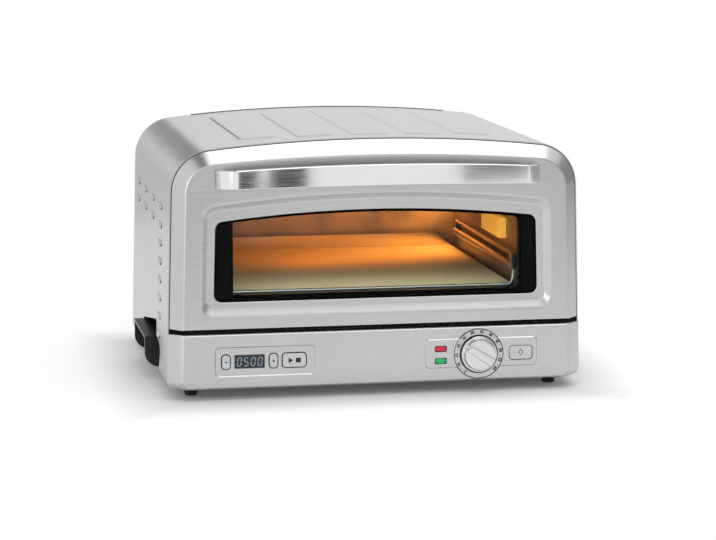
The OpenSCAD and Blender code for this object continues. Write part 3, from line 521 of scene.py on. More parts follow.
# silver paint on moulded keys: bright, but not a metal's reflection
silver_paint = moulded("silver_painted_abs", "#DADBDC", "#E4E5E6", 0.35, 0.3, 0.01)
# aluminised sheet in the heat: dull, cloudy and a little brown
steel_wall = plain_metal("aluminised_steel", "#867A6C", "#A29482", 0.42, 25)
# zinc plate: cool grey with a faint spangle
steel_zinc = plain_metal("zinc_plated_steel", "#9EA0A2", "#B9BBBD", 0.35, 12)
# bright chromed wire: small sharp highlights
chrome_wire = plain_metal("chromed_wire", "#D6D6D4", "#E2E2E0", 0.12, 30)
# painted shade: chrome made dark and warm brown for the rails' dim, warm-lit look in the cavity, still sharp
# in its highlights
rail_chrome_painted_dark = plain_metal("chrome_painted_dark", "#6E6154", "#857666", 0.16, 30)
# oxidised heater tube: nearly black and dry
heater_steel = plain_metal("heater_sheath", "#4A4540", "#6A625A", 0.5, 8)
# pressed phenolic: black with a low gloss
black_plastic = moulded("black_phenolic", "#141516", "#1E1F21", 0.38, 0.5, 0.03)
# rubber: black and matt
black_rubber = moulded("black_rubber", "#101112", "#191A1B", 0.6, 0.4, 0.03)
# ink fired on the back of the glass: the blackest surface here
black_paint = moulded("black_ceramic_print", "#040405", "#070708", 0.6, 0.6, 0.002, shine=0.03)
# vitreous enamel on sheet: black with a wet gloss and a slight wave; on the cavity floor the black is painted
# shade, for the dark beneath the stone
black_enamel_and_painted_shade = moulded("black_enamel_and_painted_shade", "#0E0D10", "#16141A", 0.25, 2.0, 0.004, shine=0.35)
# painted shade: a dull grey strip for the dark line seen along the shell's rolled back edge
dark_rim = moulded("rear_edge_painted_shade", "#55575A", "#66686B", 0.6, 1.0, 0.01, shine=0.2)
# lacquer of a printed circuit: dark green with a gloss
dark_board = moulded("green_solder_mask", "#123A24", "#1A4A30", 0.4, 1.0, 0.01)
# smoked acrylic before the digits: almost black, smooth
display_black = moulded("display_window", "#101822", "#1B2632", 0.12, 3.0, 0.001)
# steatite bushes: ivory, close grained
pale_ceramic = moulded("steatite", "#E4DECF", "#EFEADD", 0.5, 0.6, 0.02)
# pad-printed ink of the figures and signs: dark grey, a little matt
marking = moulded("grey_print", "#26272A", "#303135", 0.5, 0.4, 0.002, shine=0.3)
pane_glass = oven_glass("float_glass", "#F2F6F4")
stone = fired_stone("cordierite_stone")
wool = mineral_wool("mineral_wool")
# tinted polycarbonate caps, lit from behind
red_cap = lit_plastic("red_polycarbonate", ("#A80C2C", "#E0304A"), 0.3)
green_cap = lit_plastic("green_polycarbonate", ("#0C8F40", "#22C868"), 0.3)
# glass of the oven lamp, with the warm light of a filament in it
lamp_glow = lit_plastic("warm_lamp_glass", ("#E8902C", "#FFC050"), 0.5)
# diffusers of the digits: grey white, hardly lit
digit_glow = lit_plastic("display_segments", ("#7D8790", "#98A2AA"), 0.2)


# ---- shell ----
def louvres():
    """Places of the louvres in a side: (y, z) of each one's middle."""
    for column in range(LOUVRE_COLUMNS):
        # the front column runs all the way down, the others have two rows
        for row in range(LOUVRE_ROWS if column == 0 else 2):
            yield LOUVRE_FIRST_Y + column * LOUVRE_STEP_Y, LOUVRE_TOP_Z - row * LOUVRE_STEP_Z


def across(outline, x0, x1):
    """A prism across the body from an outline of (y, z)."""
    return loft([[(x, y, z) for y, z in outline] for x in (x0, x1)], first_cap=True, last_cap=True)


def shell():
    outer, inner = body_outline(), body_outline(SHEET)
    # the wrapped sheet is open below: it starts and ends in the two lower corners
    wall = len(outer) - 11
    rings = []
    for points, y in [(inner, SHELL_Y), (outer, SHELL_Y)] + [
            (outer, SHELL_Y + (BODY_D - SHELL_Y) * i / 10) for i in range(1, 11)] + [(inner, BODY_D)]:
        rings.append(ring(points[:wall], y))
    points, faces = loft(rings, closed=False, wrap=True)
    n = wall
    # close the two cut edges of the sheet
    faces.append(tuple(i * n for i in range(len(rings))))
    faces.append(tuple(i * n + n - 1 for i in range(len(rings))))
    bm = mesh_of(points, faces)
    # the grip's cut-out as (y, z): open below, with a sloping front edge
    notch_front, notch_back = GRIP_Y - 12, GRIP_Y + GRIP_L + 6
    notch = [(notch_front - 24, FOOT_H - 1), (notch_back, FOOT_H - 1), (notch_back, GRIP_Z + 1),
             (notch_front, GRIP_Z + 22), (notch_front - 2, GRIP_Z + 4), (notch_front - 38, 47),
             (notch_front - 41, 38), (notch_front - 34, 26)]
    cutters = []
    for side in (-1, 1):
        span = sorted((side * 200, side * 260))
        cutters.append(across(notch, *span))
        for y, z in louvres():
            cutters.append(across(rounded_rect(y, z, LOUVRE_L, LOUVRE_H, 2.4, 4), *span))
    bm = cut(bm, cutters)
    return finish_mesh("shell", bm, steel_shell, "oven", ("outer_shell",))


def louvre_hoods():
    """Each slot has a pressed hood: it rises from its upper edge and stands open below."""
    parts = []
    length = LOUVRE_L - 2
    long_steps, high_steps = 14, 6
    for side in (-1, 1):
        for y, z in louvres():
            rows = []
            for j in range(high_steps + 1):
                v = j / high_steps
                row = []
                for i in range(long_steps + 1):
                    u = i / long_steps
                    ends = math.sin(math.pi * u) ** 0.45 if 0 < u < 1 else 0.0
                    lift = 0.15 + HOOD_RISE * ends * math.sin(v * math.pi / 2)
                    zz = z + HOOD_H / 2 + 1 - v * HOOD_H * (0.55 + 0.45 * ends)
                    row.append((side * (flank_x(zz) + lift), y + (u - 0.5) * length, zz))
                rows.append(row)
            parts.append(loft(rows, closed=False))
    bm = mesh_of(*joined(parts))
    piece = finish_mesh("louvre_hoods", bm, steel_shell, "oven", limit=60, weigh=False)
    skin = piece.modifiers.new("thickness", "SOLIDIFY")
    skin.thickness = HOOD_T * MM
    skin.offset = 0
    return piece


def crown_z(x):
    """Height of the domed top."""
    return BODY_H - CROWN_R + math.sqrt(CROWN_R ** 2 - x * x)


def top_pads():
    """Five pads pressed up out of the top sheet, each with a soft sloping rim."""
    parts = []
    for i in range(PAD_COUNT):
        step = i - (PAD_COUNT - 1) / 2
        middle = step * PAD_PITCH
        # the row of front edges follows the bow of the door
        front = PAD_FRONT + PAD_SWEEP * (step / 2) ** 2
        rings = []
        for inset, rise in ((-2.4, 0.02), (-1.2, 0.35), (0, 0.95),
                            (1.4, PAD_RISE), (6, PAD_RISE), (14, PAD_RISE)):
            outline = rounded_rect(middle, (front + PAD_BACK) / 2, PAD_W - 2 * inset,
                                   PAD_BACK - front - 2 * inset,
                                   max(6 - inset, 1.5), 5)
            rings.append([(x, y, crown_z(x) + rise) for x, y in outline])
        parts.append(loft(rings, last_cap=True))
    bm = mesh_of(*joined(parts))
    return finish_mesh("top_pads", bm, steel_shell, "oven", limit=80)


# ---- door ----
def door():
    outer = [(door_outline(0), BEVEL_D), (door_outline(0.2), BEVEL_D - 0.5)]
    outer.append((between(door_outline(), face_outline(), 0.86), BEVEL_D * 0.14))
    outer.append((between(door_outline(), face_outline(), 0.95), BEVEL_D * 0.05 + 0.1))
    outer.append((face_outline(0.5), 0.12))
    outer.append((face_outline(1.8), 0))
    outer.append((window_outline(-2.4), 0))
    outer.append((window_outline(-1.0), 0.1))
    outer.append((window_outline(0.2), 0.5))
    outer.append((between(window_outline(), ridge_outline(), 0.2), WINDOW_DEPTH * 0.22))
    outer.append((between(window_outline(), ridge_outline(), 0.8), WINDOW_DEPTH * 0.86))
    outer.append((ridge_outline(0.3), WINDOW_DEPTH * 0.97))
    outer.append((ridge_outline(1.4), WINDOW_DEPTH))
    outer.append((view_outline(-1.6), WINDOW_DEPTH))
    outer.append((view_outline(-0.7), WINDOW_DEPTH + 0.25))
    outer.append((view_outline(-0.15), WINDOW_DEPTH + 0.75))
    inner = [(view_outline(0), PANE_Y), (ridge_outline(-SHEET), PANE_Y), (window_outline(-SHEET), SHEET),
             (face_outline(SHEET), SHEET), (door_outline(SHEET), BEVEL_D)]
    points, faces = loft([ring(o, y) for o, y in outer + inner], wrap=True)
    bm = mesh_of(points, faces)
    sweep = block((-HINGE_X - 6, HINGE_X + 6), (6, BEVEL_D + 2), (DOOR_BASE - 2, DOOR_BASE + 2 * SHEET))
    bm = cut(bm, [sweep])
    return finish_mesh("door_front", bm, steel_front, "door", ("door_skin",))


def glass_border():
    """Black print on the back of the outer pane, with the clear view left open in its middle."""
    view = domed(CLEAR_HALF, CLEAR_BASE, CLEAR_CREST, WINDOW_CROWN_R, 3, 2)
    clear = [(max(x, CLEAR_LEFT), z) for x, z in view]
    edge = view_outline(-2)
    y0 = PANE_Y + GLASS_T + 0.03
    y1 = y0 + 0.1
    bm = mesh_of(*frame_of(edge, clear, y0, y1))
    return finish_mesh("glass_border", bm, black_paint, "door")


def handle_plan(inset):
    """The handle seen from above, left foot to right foot: a bow whose ends bend back to the door."""
    centre = HANDLE_REACH - HANDLE_BOW_R
    reach = HANDLE_BOW_R - HANDLE_BEND_R
    xf = HANDLE_HALF - HANDLE_BEND_R
    yf = centre + math.sqrt(reach ** 2 - xf ** 2)
    turn = math.atan2(yf - centre, xf)
    points = [(HANDLE_HALF - inset, HANDLE_PAD_T)]
    points += arc(xf, yf, HANDLE_BEND_R - inset, 0, turn, 14)
    points += arc(0, centre, HANDLE_BOW_R - inset, turn, math.pi - turn, 48)[1:-1]
    points += arc(-xf, yf, HANDLE_BEND_R - inset, math.pi - turn, math.pi, 14)
    points.append((inset - HANDLE_HALF, HANDLE_PAD_T))
    return points


def handle():
    def height(x, crest, radius):
        return crest - radius + math.sqrt(radius ** 2 - x * x)

    section_r = 1.1
    section = []
    for corner, (s, t) in enumerate(((0, 0), (1, 0), (1, 1), (0, 1))):
        middle = (section_r if s == 0 else -section_r, section_r if t == 0 else -section_r)
        start = math.pi + corner * math.pi / 2
        for step in range(4):
            a = start + step / 3 * math.pi / 2
            section.append((s, t, middle[0] + section_r * math.cos(a), middle[1] + section_r * math.sin(a)))
    rings = []
    for (ox, oy), (ix, iy) in zip(handle_plan(0), handle_plan(HANDLE_BAR)):
        across_bar = Vector((ix - ox, iy - oy)).normalized()
        points = []
        for s, t, ds, dt in section:
            along = ds if s == 0 else HANDLE_BAR + ds
            x = ox + across_bar.x * along
            y = oy + across_bar.y * along
            span = min(abs(x), HANDLE_HALF)
            low = height(span, HANDLE_BOTTOM, HANDLE_BOTTOM_R)
            high = height(span, HANDLE_TOP, HANDLE_TOP_R)
            points.append((x, -y, (low if t == 0 else high) + dt))
        rings.append(points)
    bm = mesh_of(*loft(rings, first_cap=True, last_cap=True))
    return finish_mesh("handle_bar", bm, steel_handle, "door", ("door_handle",), limit=40)


# ---- control fascia ----
def fascia():
    front_half = HALF_W - BEVEL_SIDE
    outer = [(slab(HALF_W, FASCIA_TOP, SHEET), FLANGE_BACK), (slab(HALF_W, FASCIA_TOP, SHEET), BEVEL_D),
             (slab(HALF_W, FASCIA_TOP), BEVEL_D), (slab(HALF_W, FASCIA_TOP, 0.2), BEVEL_D - 0.5)]
    body, face = slab(HALF_W, FASCIA_TOP), slab(front_half, FASCIA_TOP)
    outer.append((between(body, face, 0.8), 2.9))
    for wider, inset, y in ((1.7, 0.1, 1.95), (0.6, 1.75, 0.25), (0.2, 2.5, 0)):
        outer.append((slab(front_half + wider, FASCIA_TOP, inset), y))
    inner = [(slab(front_half, FASCIA_TOP, 2 * SHEET), SHEET), (slab(HALF_W, FASCIA_TOP, 2 * SHEET), BEVEL_D),
             (slab(HALF_W, FASCIA_TOP, 2 * SHEET), FLANGE_BACK)]
    first = loft([ring(o, y) for o, y in outer], last_cap=True)
    second = loft([ring(o, y) for o, y in inner], first_cap=True)
    points, faces = joined([first, second])
    n, last = len(outer[0][0]), len(outer[0][0]) * (len(outer) + len(inner) - 1)
    faces += [(k, (k + 1) % n, last + (k + 1) % n, last + k) for k in range(n)]
    bm = mesh_of(points, faces)

    wide = rounded_rect(RECESS_X, CONTROL_Z, RECESS_W + 2, RECESS_H + 2, 5)
    floor_edge = rounded_rect(RECESS_X, CONTROL_Z, RECESS_W, RECESS_H, 4)
    bm = cut(bm, [loft([ring(wide, -1), ring(wide, -0.01), ring(floor_edge, RECESS_DEPTH)],
                       first_cap=True, last_cap=True)])
    root = rounded_rect(PANEL_X, PANEL_Z, PANEL_W + 1.8, PANEL_H + 1.8, 5)
    top = rounded_rect(PANEL_X, PANEL_Z, PANEL_W, PANEL_H, 4)
    panel = mesh_of(*loft([ring(root, 0.3), ring(root, -0.02), ring(top, -PANEL_PROUD)],
                          first_cap=True, last_cap=True))

    def hole(x, z, w, h, r):
        return prism(rounded_rect(x, z, w, h, r), -2, SHEET + 3)

    def key_hole(x, w, r):
        return hole(x, CONTROL_Z, w + 2 * SEEN_GAP, BUTTON_H + 2 * SEEN_GAP, r)

    left = [hole(DISPLAY_X, CONTROL_Z, DISPLAY_W, BUTTON_H, 1), key_hole(MINUS_X, STEP_BUTTON_W, 3.5),
            key_hole(PLUS_X, STEP_BUTTON_W, 3.5), key_hole(START_X, BUTTON_W, 4)]
    right = [key_hole(LIGHT_X, BUTTON_W, 4)]
    right += [hole(LAMP_X, CONTROL_Z + dz, LAMP_W, LAMP_H, 2) for dz in (LAMP_DZ, -LAMP_DZ)]
    right.append(prism(arc(DIAL_X, CONTROL_Z, 4, 0, 2 * math.pi, 24)[:-1], -2, SHEET + 3))
    # comb of air slots along the top flange
    comb = []
    for i in range(COMB_COUNT):
        x = (i - (COMB_COUNT - 1) / 2) * COMB_PITCH
        comb.append(block((x - COMB_HALF_SLOT, x + COMB_HALF_SLOT), (BEVEL_D - 3, BEVEL_D + 10),
                          (FASCIA_TOP - 2 * SHEET - 1, FASCIA_TOP + 1)))
    finish_mesh("fascia_panel", cut(panel, right), steel_front, "oven")
    return finish_mesh("fascia_front", cut(bm, left + right + comb), steel_front, "oven", ("control_fascia",))


def button(node, x, w, body):
    """A push button with a rounded rim and a face that is very slightly hollow."""
    rings = [ring(rounded_rect(x, CONTROL_Z, w + 2.8, BUTTON_H + 2.8, 4.6), 2.4),
             ring(rounded_rect(x, CONTROL_Z, w + 2.8, BUTTON_H + 2.8, 4.6), 1.4),
             ring(rounded_rect(x, CONTROL_Z, w, BUTTON_H, 3.4), 1.4)]
    for inset, y in ((0, -0.4), (0.18, -0.75), (0.55, -0.97),
                     (1.0, -BUTTON_PROUD), (1.8, -0.9), (3.4, -0.82)):
        rings.append(ring(rounded_rect(x, CONTROL_Z, w - 2 * inset, BUTTON_H - 2 * inset,
                                       max(3.4 - inset, 0.4)), y))
    bm = mesh_of(*loft(rings, first_cap=True, last_cap=True))
    return finish_mesh(node + "_cap", bm, silver_paint, body, (node,), limit=50)


def dark_rims():
    """Black plastic seen in the gaps round the buttons and the two lamp caps."""
    parts = []
    for x, w in ((MINUS_X, STEP_BUTTON_W), (PLUS_X, STEP_BUTTON_W), (START_X, BUTTON_W), (LIGHT_X, BUTTON_W)):
        rim = [rounded_rect(x, CONTROL_Z, w + 2 * g, BUTTON_H + 2 * g, 3.4 + g) for g in (1.3, 0.05)]
        parts.append(frame_of(*rim, 0.75, 1.2))
    for dz in (LAMP_DZ, -LAMP_DZ):
        rim = [rounded_rect(LAMP_X, CONTROL_Z + dz, LAMP_W - 2 * g, LAMP_H - 2 * g, 2.4 - g)
               for g in (0.02, 0.75)]
        parts.append(frame_of(*rim, -0.3, 1))
    finish_mesh("dark_rims", mesh_of(*joined(parts)), black_plastic, "oven", weigh=False)


def lamp_cap(node, dz, coat):
    z = CONTROL_Z + dz
    rings = []
    for inset, y in ((0.8, 2.2), (0.8, -0.3), (1.1, -0.75), (1.7, -0.95), (2.6, -1.0)):
        outline = rounded_rect(LAMP_X, z, LAMP_W - 2 * inset, LAMP_H - 2 * inset, max(3.2 - inset, 0.6))
        rings.append(ring(outline, y))
    bm = mesh_of(*loft(rings, first_cap=True, last_cap=True))
    return finish_mesh(node + "_cap", bm, coat, "oven", (node,), limit=50)


def flat_marks(name, outlines, y, coat, body, thick=0.12):
    """Printed marks: thin raised shapes on a face that looks to the front at y."""
    bm = mesh_of(*joined([prism(outline, y - thick, y + 0.05) for outline in outlines]))
    return finish_mesh(name, bm, coat, body, limit=30, weigh=False)


def segments(x, z, w, h, on):
    """Bars of a seven segment digit, leaning a little, as (x, z) outlines. on names the lit bars, a to g."""
    bar, gap = 1.25, 0.25
    lean = math.tan(math.radians(6))
    hw, hh = w / 2, h / 2
    bars = {
        "a": ((-hw, hh), (hw, hh), 0), "g": ((-hw, 0), (hw, 0), 0), "d": ((-hw, -hh), (hw, -hh), 0),
        "f": ((-hw, 0), (-hw, hh), 1), "b": ((hw, 0), (hw, hh), 1),
        "e": ((-hw, -hh), (-hw, 0), 1), "c": ((hw, -hh), (hw, 0), 1),
    }
    outlines = []
    for key in on:
        (x0, z0), (x1, z1), upright = bars[key]
        t = bar / 2
        if upright:
            hexagon = [(x0, z0 + gap), (x0 + t, z0 + gap + t), (x0 + t, z1 - gap - t), (x0, z1 - gap),
                       (x0 - t, z1 - gap - t), (x0 - t, z0 + gap + t)]
        else:
            hexagon = [(x0 + gap, z0), (x0 + gap + t, z0 - t), (x1 - gap - t, z0 - t), (x1 - gap, z0),
                       (x1 - gap - t, z0 + t), (x0 + gap + t, z0 + t)]
        outlines.append([(x + px + pz * lean, z + pz) for px, pz in hexagon])
    return outlines


def display():
    rings = []
    for inset, y in ((0.05, 2.2), (0.05, 0.0), (0.3, -0.2)):
        outline = rounded_rect(DISPLAY_X, CONTROL_Z, DISPLAY_W - 2 * inset, BUTTON_H - 2 * inset, 1)
        rings.append(ring(outline, y))
    bm = mesh_of(*loft(rings, first_cap=True, last_cap=True))
    finish_mesh("display_window", bm, display_black, "oven", ("display_lens",))
    lit = []
    for x, on in zip((-11.6, -3.9, 3.9, 11.6), ("abcdef", "acdfg", "abcdef", "abcdef")):
        lit += segments(DISPLAY_X + x, CONTROL_Z, 4.2, 9.2, on)
    flat_marks("display_digits", lit, -0.2, digit_glow, "oven", 0.06)


def strip(x0, z0, x1, z1, w):
    """Outline of a straight line of width w."""
    direction = Vector((x1 - x0, z1 - z0)).normalized() * (w / 2)
    nx, nz = -direction.y, direction.x
    return [(x0 + nx, z0 + nz), (x0 - nx, z0 - nz), (x1 - nx, z1 - nz), (x1 + nx, z1 + nz)]


def band(cx, cz, r, w, start, end, steps=20):
    outer = arc(cx, cz, r + w / 2, math.radians(start), math.radians(end), steps)
    inner = arc(cx, cz, r - w / 2, math.radians(end), math.radians(start), steps)
    return outer + inner


def button_marks():
    face = -0.82
    z = CONTROL_Z
    flat_marks("minus_mark", [strip(MINUS_X - 1.8, z, MINUS_X + 1.8, z, 0.9)], face, marking, "minus_key")
    plus = [strip(PLUS_X - 1.8, z, PLUS_X + 1.8, z, 0.9), strip(PLUS_X, z + 0.46, PLUS_X, z + 1.8, 0.9),
            strip(PLUS_X, z - 1.8, PLUS_X, z - 0.46, 0.9)]
    flat_marks("plus_mark", plus, face, marking, "plus_key")
    play = [(START_X - 6.5, z - 3.1), (START_X - 6.5, z + 3.1), (START_X - 1.2, z)]
    stop = rounded_rect(START_X + 4.4, z, 5.4, 5.4, 0.4)
    flat_marks("start_mark", [play, stop], face, marking, "start_key")
    bulb = [band(LIGHT_X, z + 0.6, 2.3, 0.75, -60, 240),
            strip(LIGHT_X - 1.1, z - 2.2, LIGHT_X + 1.1, z - 2.2, 0.55),
            strip(LIGHT_X - 0.8, z - 3.2, LIGHT_X + 0.8, z - 3.2, 0.55),
            strip(LIGHT_X, z + 3.8, LIGHT_X, z + 5.0, 0.5)]
    flat_marks("light_mark", bulb, face, marking, "light_key")


# ---- rack and rear ----
def tube(points, r, steps=10):
    """A round bar through points that lie in one upright plane across the oven."""
    rings = []
    for i, (x, y, z) in enumerate(points):
        before, after = points[max(i - 1, 0)], points[min(i + 1, len(points) - 1)]
        along = Vector((after[0] - before[0], 0, after[2] - before[2])).normalized()
        out = Vector((along.z, 0, -along.x))
        rings.append([(x + out.x * r * math.cos(a), y + r * math.sin(a), z + out.z * r * math.cos(a))
                      for a in (2 * math.pi * k / steps for k in range(steps))])
    return loft(rings, first_cap=True, last_cap=True)


def carrier_hooks():
    """The carrier's front wire turns up towards the rail at each end."""
    # (x, z) of the wire's middle, from its straight run round the bend and up
    path = [(148, 114.5), (158, 114.6), (161.5, 115.6), (164, 118.5), (165, 122), (165.4, 127),
            (165.6, 131.6)]
    bars = [tube([(side * x, 44, z) for x, z in path], 1.6) for side in (-1, 1)]
    finish_mesh("carrier_hooks", mesh_of(*joined(bars)), chrome_wire, "oven", limit=60)


def rear_rim():
    """The dark line along the back edge of the top, where the rear panel meets the shell: a grey strip of
    painted shade on the rolled edge.
    """
    start, end = math.radians(84.6), math.radians(95.4)
    low = arc(0, BODY_H - CROWN_R, CROWN_R - 0.5, start, end, 40)
    crown = arc(0, BODY_H - CROWN_R, CROWN_R + 0.75, start, end, 40)
    rings = [ring(low, BODY_D - 3), ring(crown, BODY_D - 2.6), ring(crown, BODY_D), ring(low, BODY_D)]
    bm = mesh_of(*loft(rings, closed=False, wrap=True))
    finish_mesh("rear_rim", bm, dark_rim, "oven", limit=60, weigh=False)


# ---- dial ----
def turned(profile, x, z, steps=96):
    """A solid turned about an axis along y: profile is a list of (radius, y), from the axis out and round."""
    rings = [[(x + r * math.cos(a), y, z + r * math.sin(a)) for a in
              (2 * math.pi * k / steps for k in range(steps))] for r, y in profile]
    return loft(rings, first_cap=True, last_cap=True)


def dial():
    r = DIAL_D / 2
    base, top = -(RING_T + 0.4), -(DIAL_H - 7.5)
    knob = [(3.2, base), (r - 0.4, base), (r, base - 0.4), (r, base - 2.6), (r - 0.5, base - 3.2),
            (r - 2.0, base - 3.4), (r - 2.4, base - 3.9), (r - 3.0, top + 1.2), (r - 3.5, top + 0.3),
            (r - 4.6, top), (r - 8, top), (1, top)]
    bm = mesh_of(*turned(knob, DIAL_X, CONTROL_Z))
    # grip bar across the face, narrower towards the pointer
    along = Vector((math.cos(DIAL_REST), math.sin(DIAL_REST)))
    side = Vector((-along.y, along.x))
    rings = []
    reach = r - 4.2
    for inset, y in ((0, top + 0.5), (0, -(DIAL_H - 1.2)), (0.3, -(DIAL_H - 0.4)), (1.0, -DIAL_H)):
        outline = []
        for u, v in ((1, -0.8), (1, 0.8), (-1, 1.15), (-1, -1.15)):
            a = along * (u * (reach - inset)) + side * (v * (4.5 - inset))
            outline.append((DIAL_X + a.x, y, CONTROL_Z + a.y))
        rings.append(outline)
    grip = mesh_of(*loft(rings, first_cap=True, last_cap=True))
    soften(grip, 0.5, 40)
    mesh = bpy.data.meshes.new("grip")
    grip.to_mesh(mesh)
    grip.free()
    bm.from_mesh(mesh)
    bpy.data.meshes.remove(mesh)
    finish_mesh("dial_knob", bm, steel_dial, "dial", ("temperature_dial",), limit=38)
    tip = along * (reach - 2.2)
    tail = along * (reach - 7.5)
    tick = strip(DIAL_X + tail.x, CONTROL_Z + tail.y, DIAL_X + tip.x, CONTROL_Z + tip.y, 1.1)
    flat_marks("dial_pointer", [tick], -DIAL_H + 0.12, marking, "dial", 0.1)


def scale_ring():
    r = RING_D / 2
    profile = [(4, 0), (r, 0), (r, -0.9), (r - 0.4, -1.35), (r - 1.0, -RING_T), (22.3, -RING_T), (22.0, -1.2),
               (4, -1.2)]
    bm = mesh_of(*turned(profile, DIAL_X, CONTROL_Z))
    finish_mesh("scale_ring", bm, steel_ring, "oven", ("dial_ring",), limit=40)
    gap = turned([(4, -1.2), (21.9, -1.2), (21.9, -1.45), (4, -1.45)], DIAL_X, CONTROL_Z)
    rim = turned([(4, 0), (r + 0.7, 0), (r + 0.7, -1.1), (4, -1.1)], DIAL_X, CONTROL_Z)
    finish_mesh("dial_dark_rims", mesh_of(*joined([gap, rim])), black_plastic, "oven", limit=40)


def lettering(name, text, size, x, z, turn, y):
    """Plain figures on a face that looks to the front, as a thin mesh."""
    curve = bpy.data.curves.new(name, "FONT")
    curve.body = text
    curve.size = size * MM
    curve.align_x = "CENTER"
    curve.align_y = "CENTER"
    curve.extrude = 0.04 * MM
    curve.offset = 0.05 * size * MM
    curve.resolution_u = 3
    writer = bpy.data.objects.new(name + "_curve", curve)
    bpy.context.scene.collection.objects.link(writer)
    bpy.context.view_layer.update()
    flat = bpy.data.meshes.new_from_object(writer.evaluated_get(bpy.context.evaluated_depsgraph_get()))
    bm = bmesh.new()
    bm.from_mesh(flat)
    bpy.data.meshes.remove(flat)
    bpy.data.objects.remove(writer)
    bpy.data.curves.remove(curve)
    c, s = math.cos(turn), math.sin(turn)
    for v in bm.verts:
        px, pz, depth = v.co.x, v.co.y, v.co.z
        v.co = place(x, y, z) + Vector((px * c - pz * s, -depth, px * s + pz * c))
    return bm


def ring_figures():
    """Plain figures in fives round the ring, clockwise from the lower left, with a dot between them."""
    whole = bmesh.new()
    first, last = math.radians(232), math.radians(-42)
    for i in range(FIGURE_COUNT):
        a = first + (last - first) * i / (FIGURE_COUNT - 1)
        x, z = DIAL_X + FIGURE_R * math.cos(a), CONTROL_Z + FIGURE_R * math.sin(a)
        figures = lettering("figure", str((i + 1) * 5), FIGURE_SIZE, x, z, a - math.pi / 2, -RING_T - 0.03)
        scratch = bpy.data.meshes.new("figure")
        figures.to_mesh(scratch)
        figures.free()
        whole.from_mesh(scratch)
        bpy.data.meshes.remove(scratch)
    finish_mesh("scale_figures", whole, marking, "oven", limit=30, weigh=False)
    dots = []
    for i in range(FIGURE_COUNT - 1):
        a = first + (last - first) * (i + 0.5) / (FIGURE_COUNT - 1)
        x, z = DIAL_X + FIGURE_R * math.cos(a), CONTROL_Z + FIGURE_R * math.sin(a)
        dots.append(arc(x, z, 0.5, 0, 2 * math.pi, 10)[:-1])
    flat_marks("scale_dots", dots, -RING_T, marking, "oven", 0.06)


# ---- stage, camera and lamps, in metres ----
FOOTPRINT = (("X", 0.215), ("Y", 0.185))
SHADOW_LIFT_LOW, SHADOW_LIFT_HIGH, SHADOW_LIFT_REACH = 0.04, 0.36, 0.1
PLAIN_FROM, PLAIN_TO = 0.05, 0.34
CAMERA_AT = (-0.53979, -2.94119, 0.57703)


def background_seen(tree):
    """1 for rays from the camera, a reflection or through glass, which see the plain background."""
    path = add(tree, "ShaderNodeLightPath").outputs
    straight = add(tree, "ShaderNodeMath", {0: path["Is Camera Ray"], 1: path["Is Transmission Ray"]},
                   operation="MAXIMUM")
    seen = add(tree, "ShaderNodeMath", {0: straight.outputs[0], 1: path["Is Glossy Ray"]},
               operation="MAXIMUM")
    return seen.outputs[0]


def sheet_of(name, corners, coat):
    mesh = bpy.data.meshes.new(name)
    mesh.from_pydata(corners, [], [(0, 1, 2, 3)])
    mesh.materials.append(coat)
    thing = bpy.data.objects.new(name, mesh)
    bpy.context.scene.collection.objects.link(thing)
    return thing


def floor():
    """White paper: lit and shadowed round the oven, and fading into plain white further out."""
    coat, tree, shader, where = new_material("white_paper", Roughness=0.9)
    shader.inputs["Base Color"].default_value = linear("#EFEFEF")
    seen = background_seen(tree)
    # how far a point lies outside the oven's footprint, in metres
    axes = add(tree, "ShaderNodeSeparateXYZ", {0: where})
    reach = []
    for axis, half in FOOTPRINT:
        far = add(tree, "ShaderNodeMath", {0: axes.outputs[axis]}, operation="ABSOLUTE")
        reach.append(add(tree, "ShaderNodeMath", {0: far.outputs[0], 1: half}, operation="SUBTRACT"))
    outside = add(tree, "ShaderNodeMath", {0: reach[0].outputs[0], 1: reach[1].outputs[0]},
                  operation="MAXIMUM")
    # brightens the seen floor away from the oven, so that only the close shadow stays dark
    rise = ranged(tree, outside.outputs[0], SHADOW_LIFT_LOW, SHADOW_LIFT_HIGH, 0.0, SHADOW_LIFT_REACH)
    lift = add(tree, "ShaderNodeMath", {0: seen, 1: rise}, operation="MULTIPLY")
    glow = add(tree, "ShaderNodeEmission", {"Strength": lift.outputs[0]})
    near = add(tree, "ShaderNodeAddShader", {0: shader.outputs["BSDF"], 1: glow.outputs["Emission"]})
    share = ranged(tree, outside.outputs[0], 0.0, 1.0, PLAIN_FROM, PLAIN_TO)
    fade = add(tree, "ShaderNodeMath", {0: seen, 1: share}, operation="MULTIPLY")
    plain = add(tree, "ShaderNodeEmission", {"Strength": 1.0})
    mix = add(tree, "ShaderNodeMixShader", {0: fade.outputs[0], 1: near.outputs["Shader"],
                                            2: plain.outputs["Emission"]})
    tree.links.new(mix.outputs["Shader"], tree.nodes["Material Output"].inputs["Surface"])
    sheet_of("floor", [(-6, -6, 0), (6, -6, 0), (6, 6, 0), (-6, 6, 0)], coat)


def grey_card(name, level, corners):
    """A card that only reflections see, so the steel has something to shade it."""
    coat = bpy.data.materials.new(name)
    coat.use_nodes = True
    tree = coat.node_tree
    tree.nodes.remove(tree.nodes["Principled BSDF"])
    glow = add(tree, "ShaderNodeEmission", {"Color": (level, level, level, 1.0), "Strength": 1.0})
    tree.links.new(glow.outputs["Emission"], tree.nodes["Material Output"].inputs["Surface"])
    card = sheet_of(name, corners, coat)
    card.visible_camera = card.visible_diffuse = card.visible_shadow = card.visible_transmission = False


def upright(x0, x1, y, z0, z1):
    """Corners of a card that stands across the view."""
    return [(x0, y, z0), (x1, y, z0), (x1, y, z1), (x0, y, z1)]


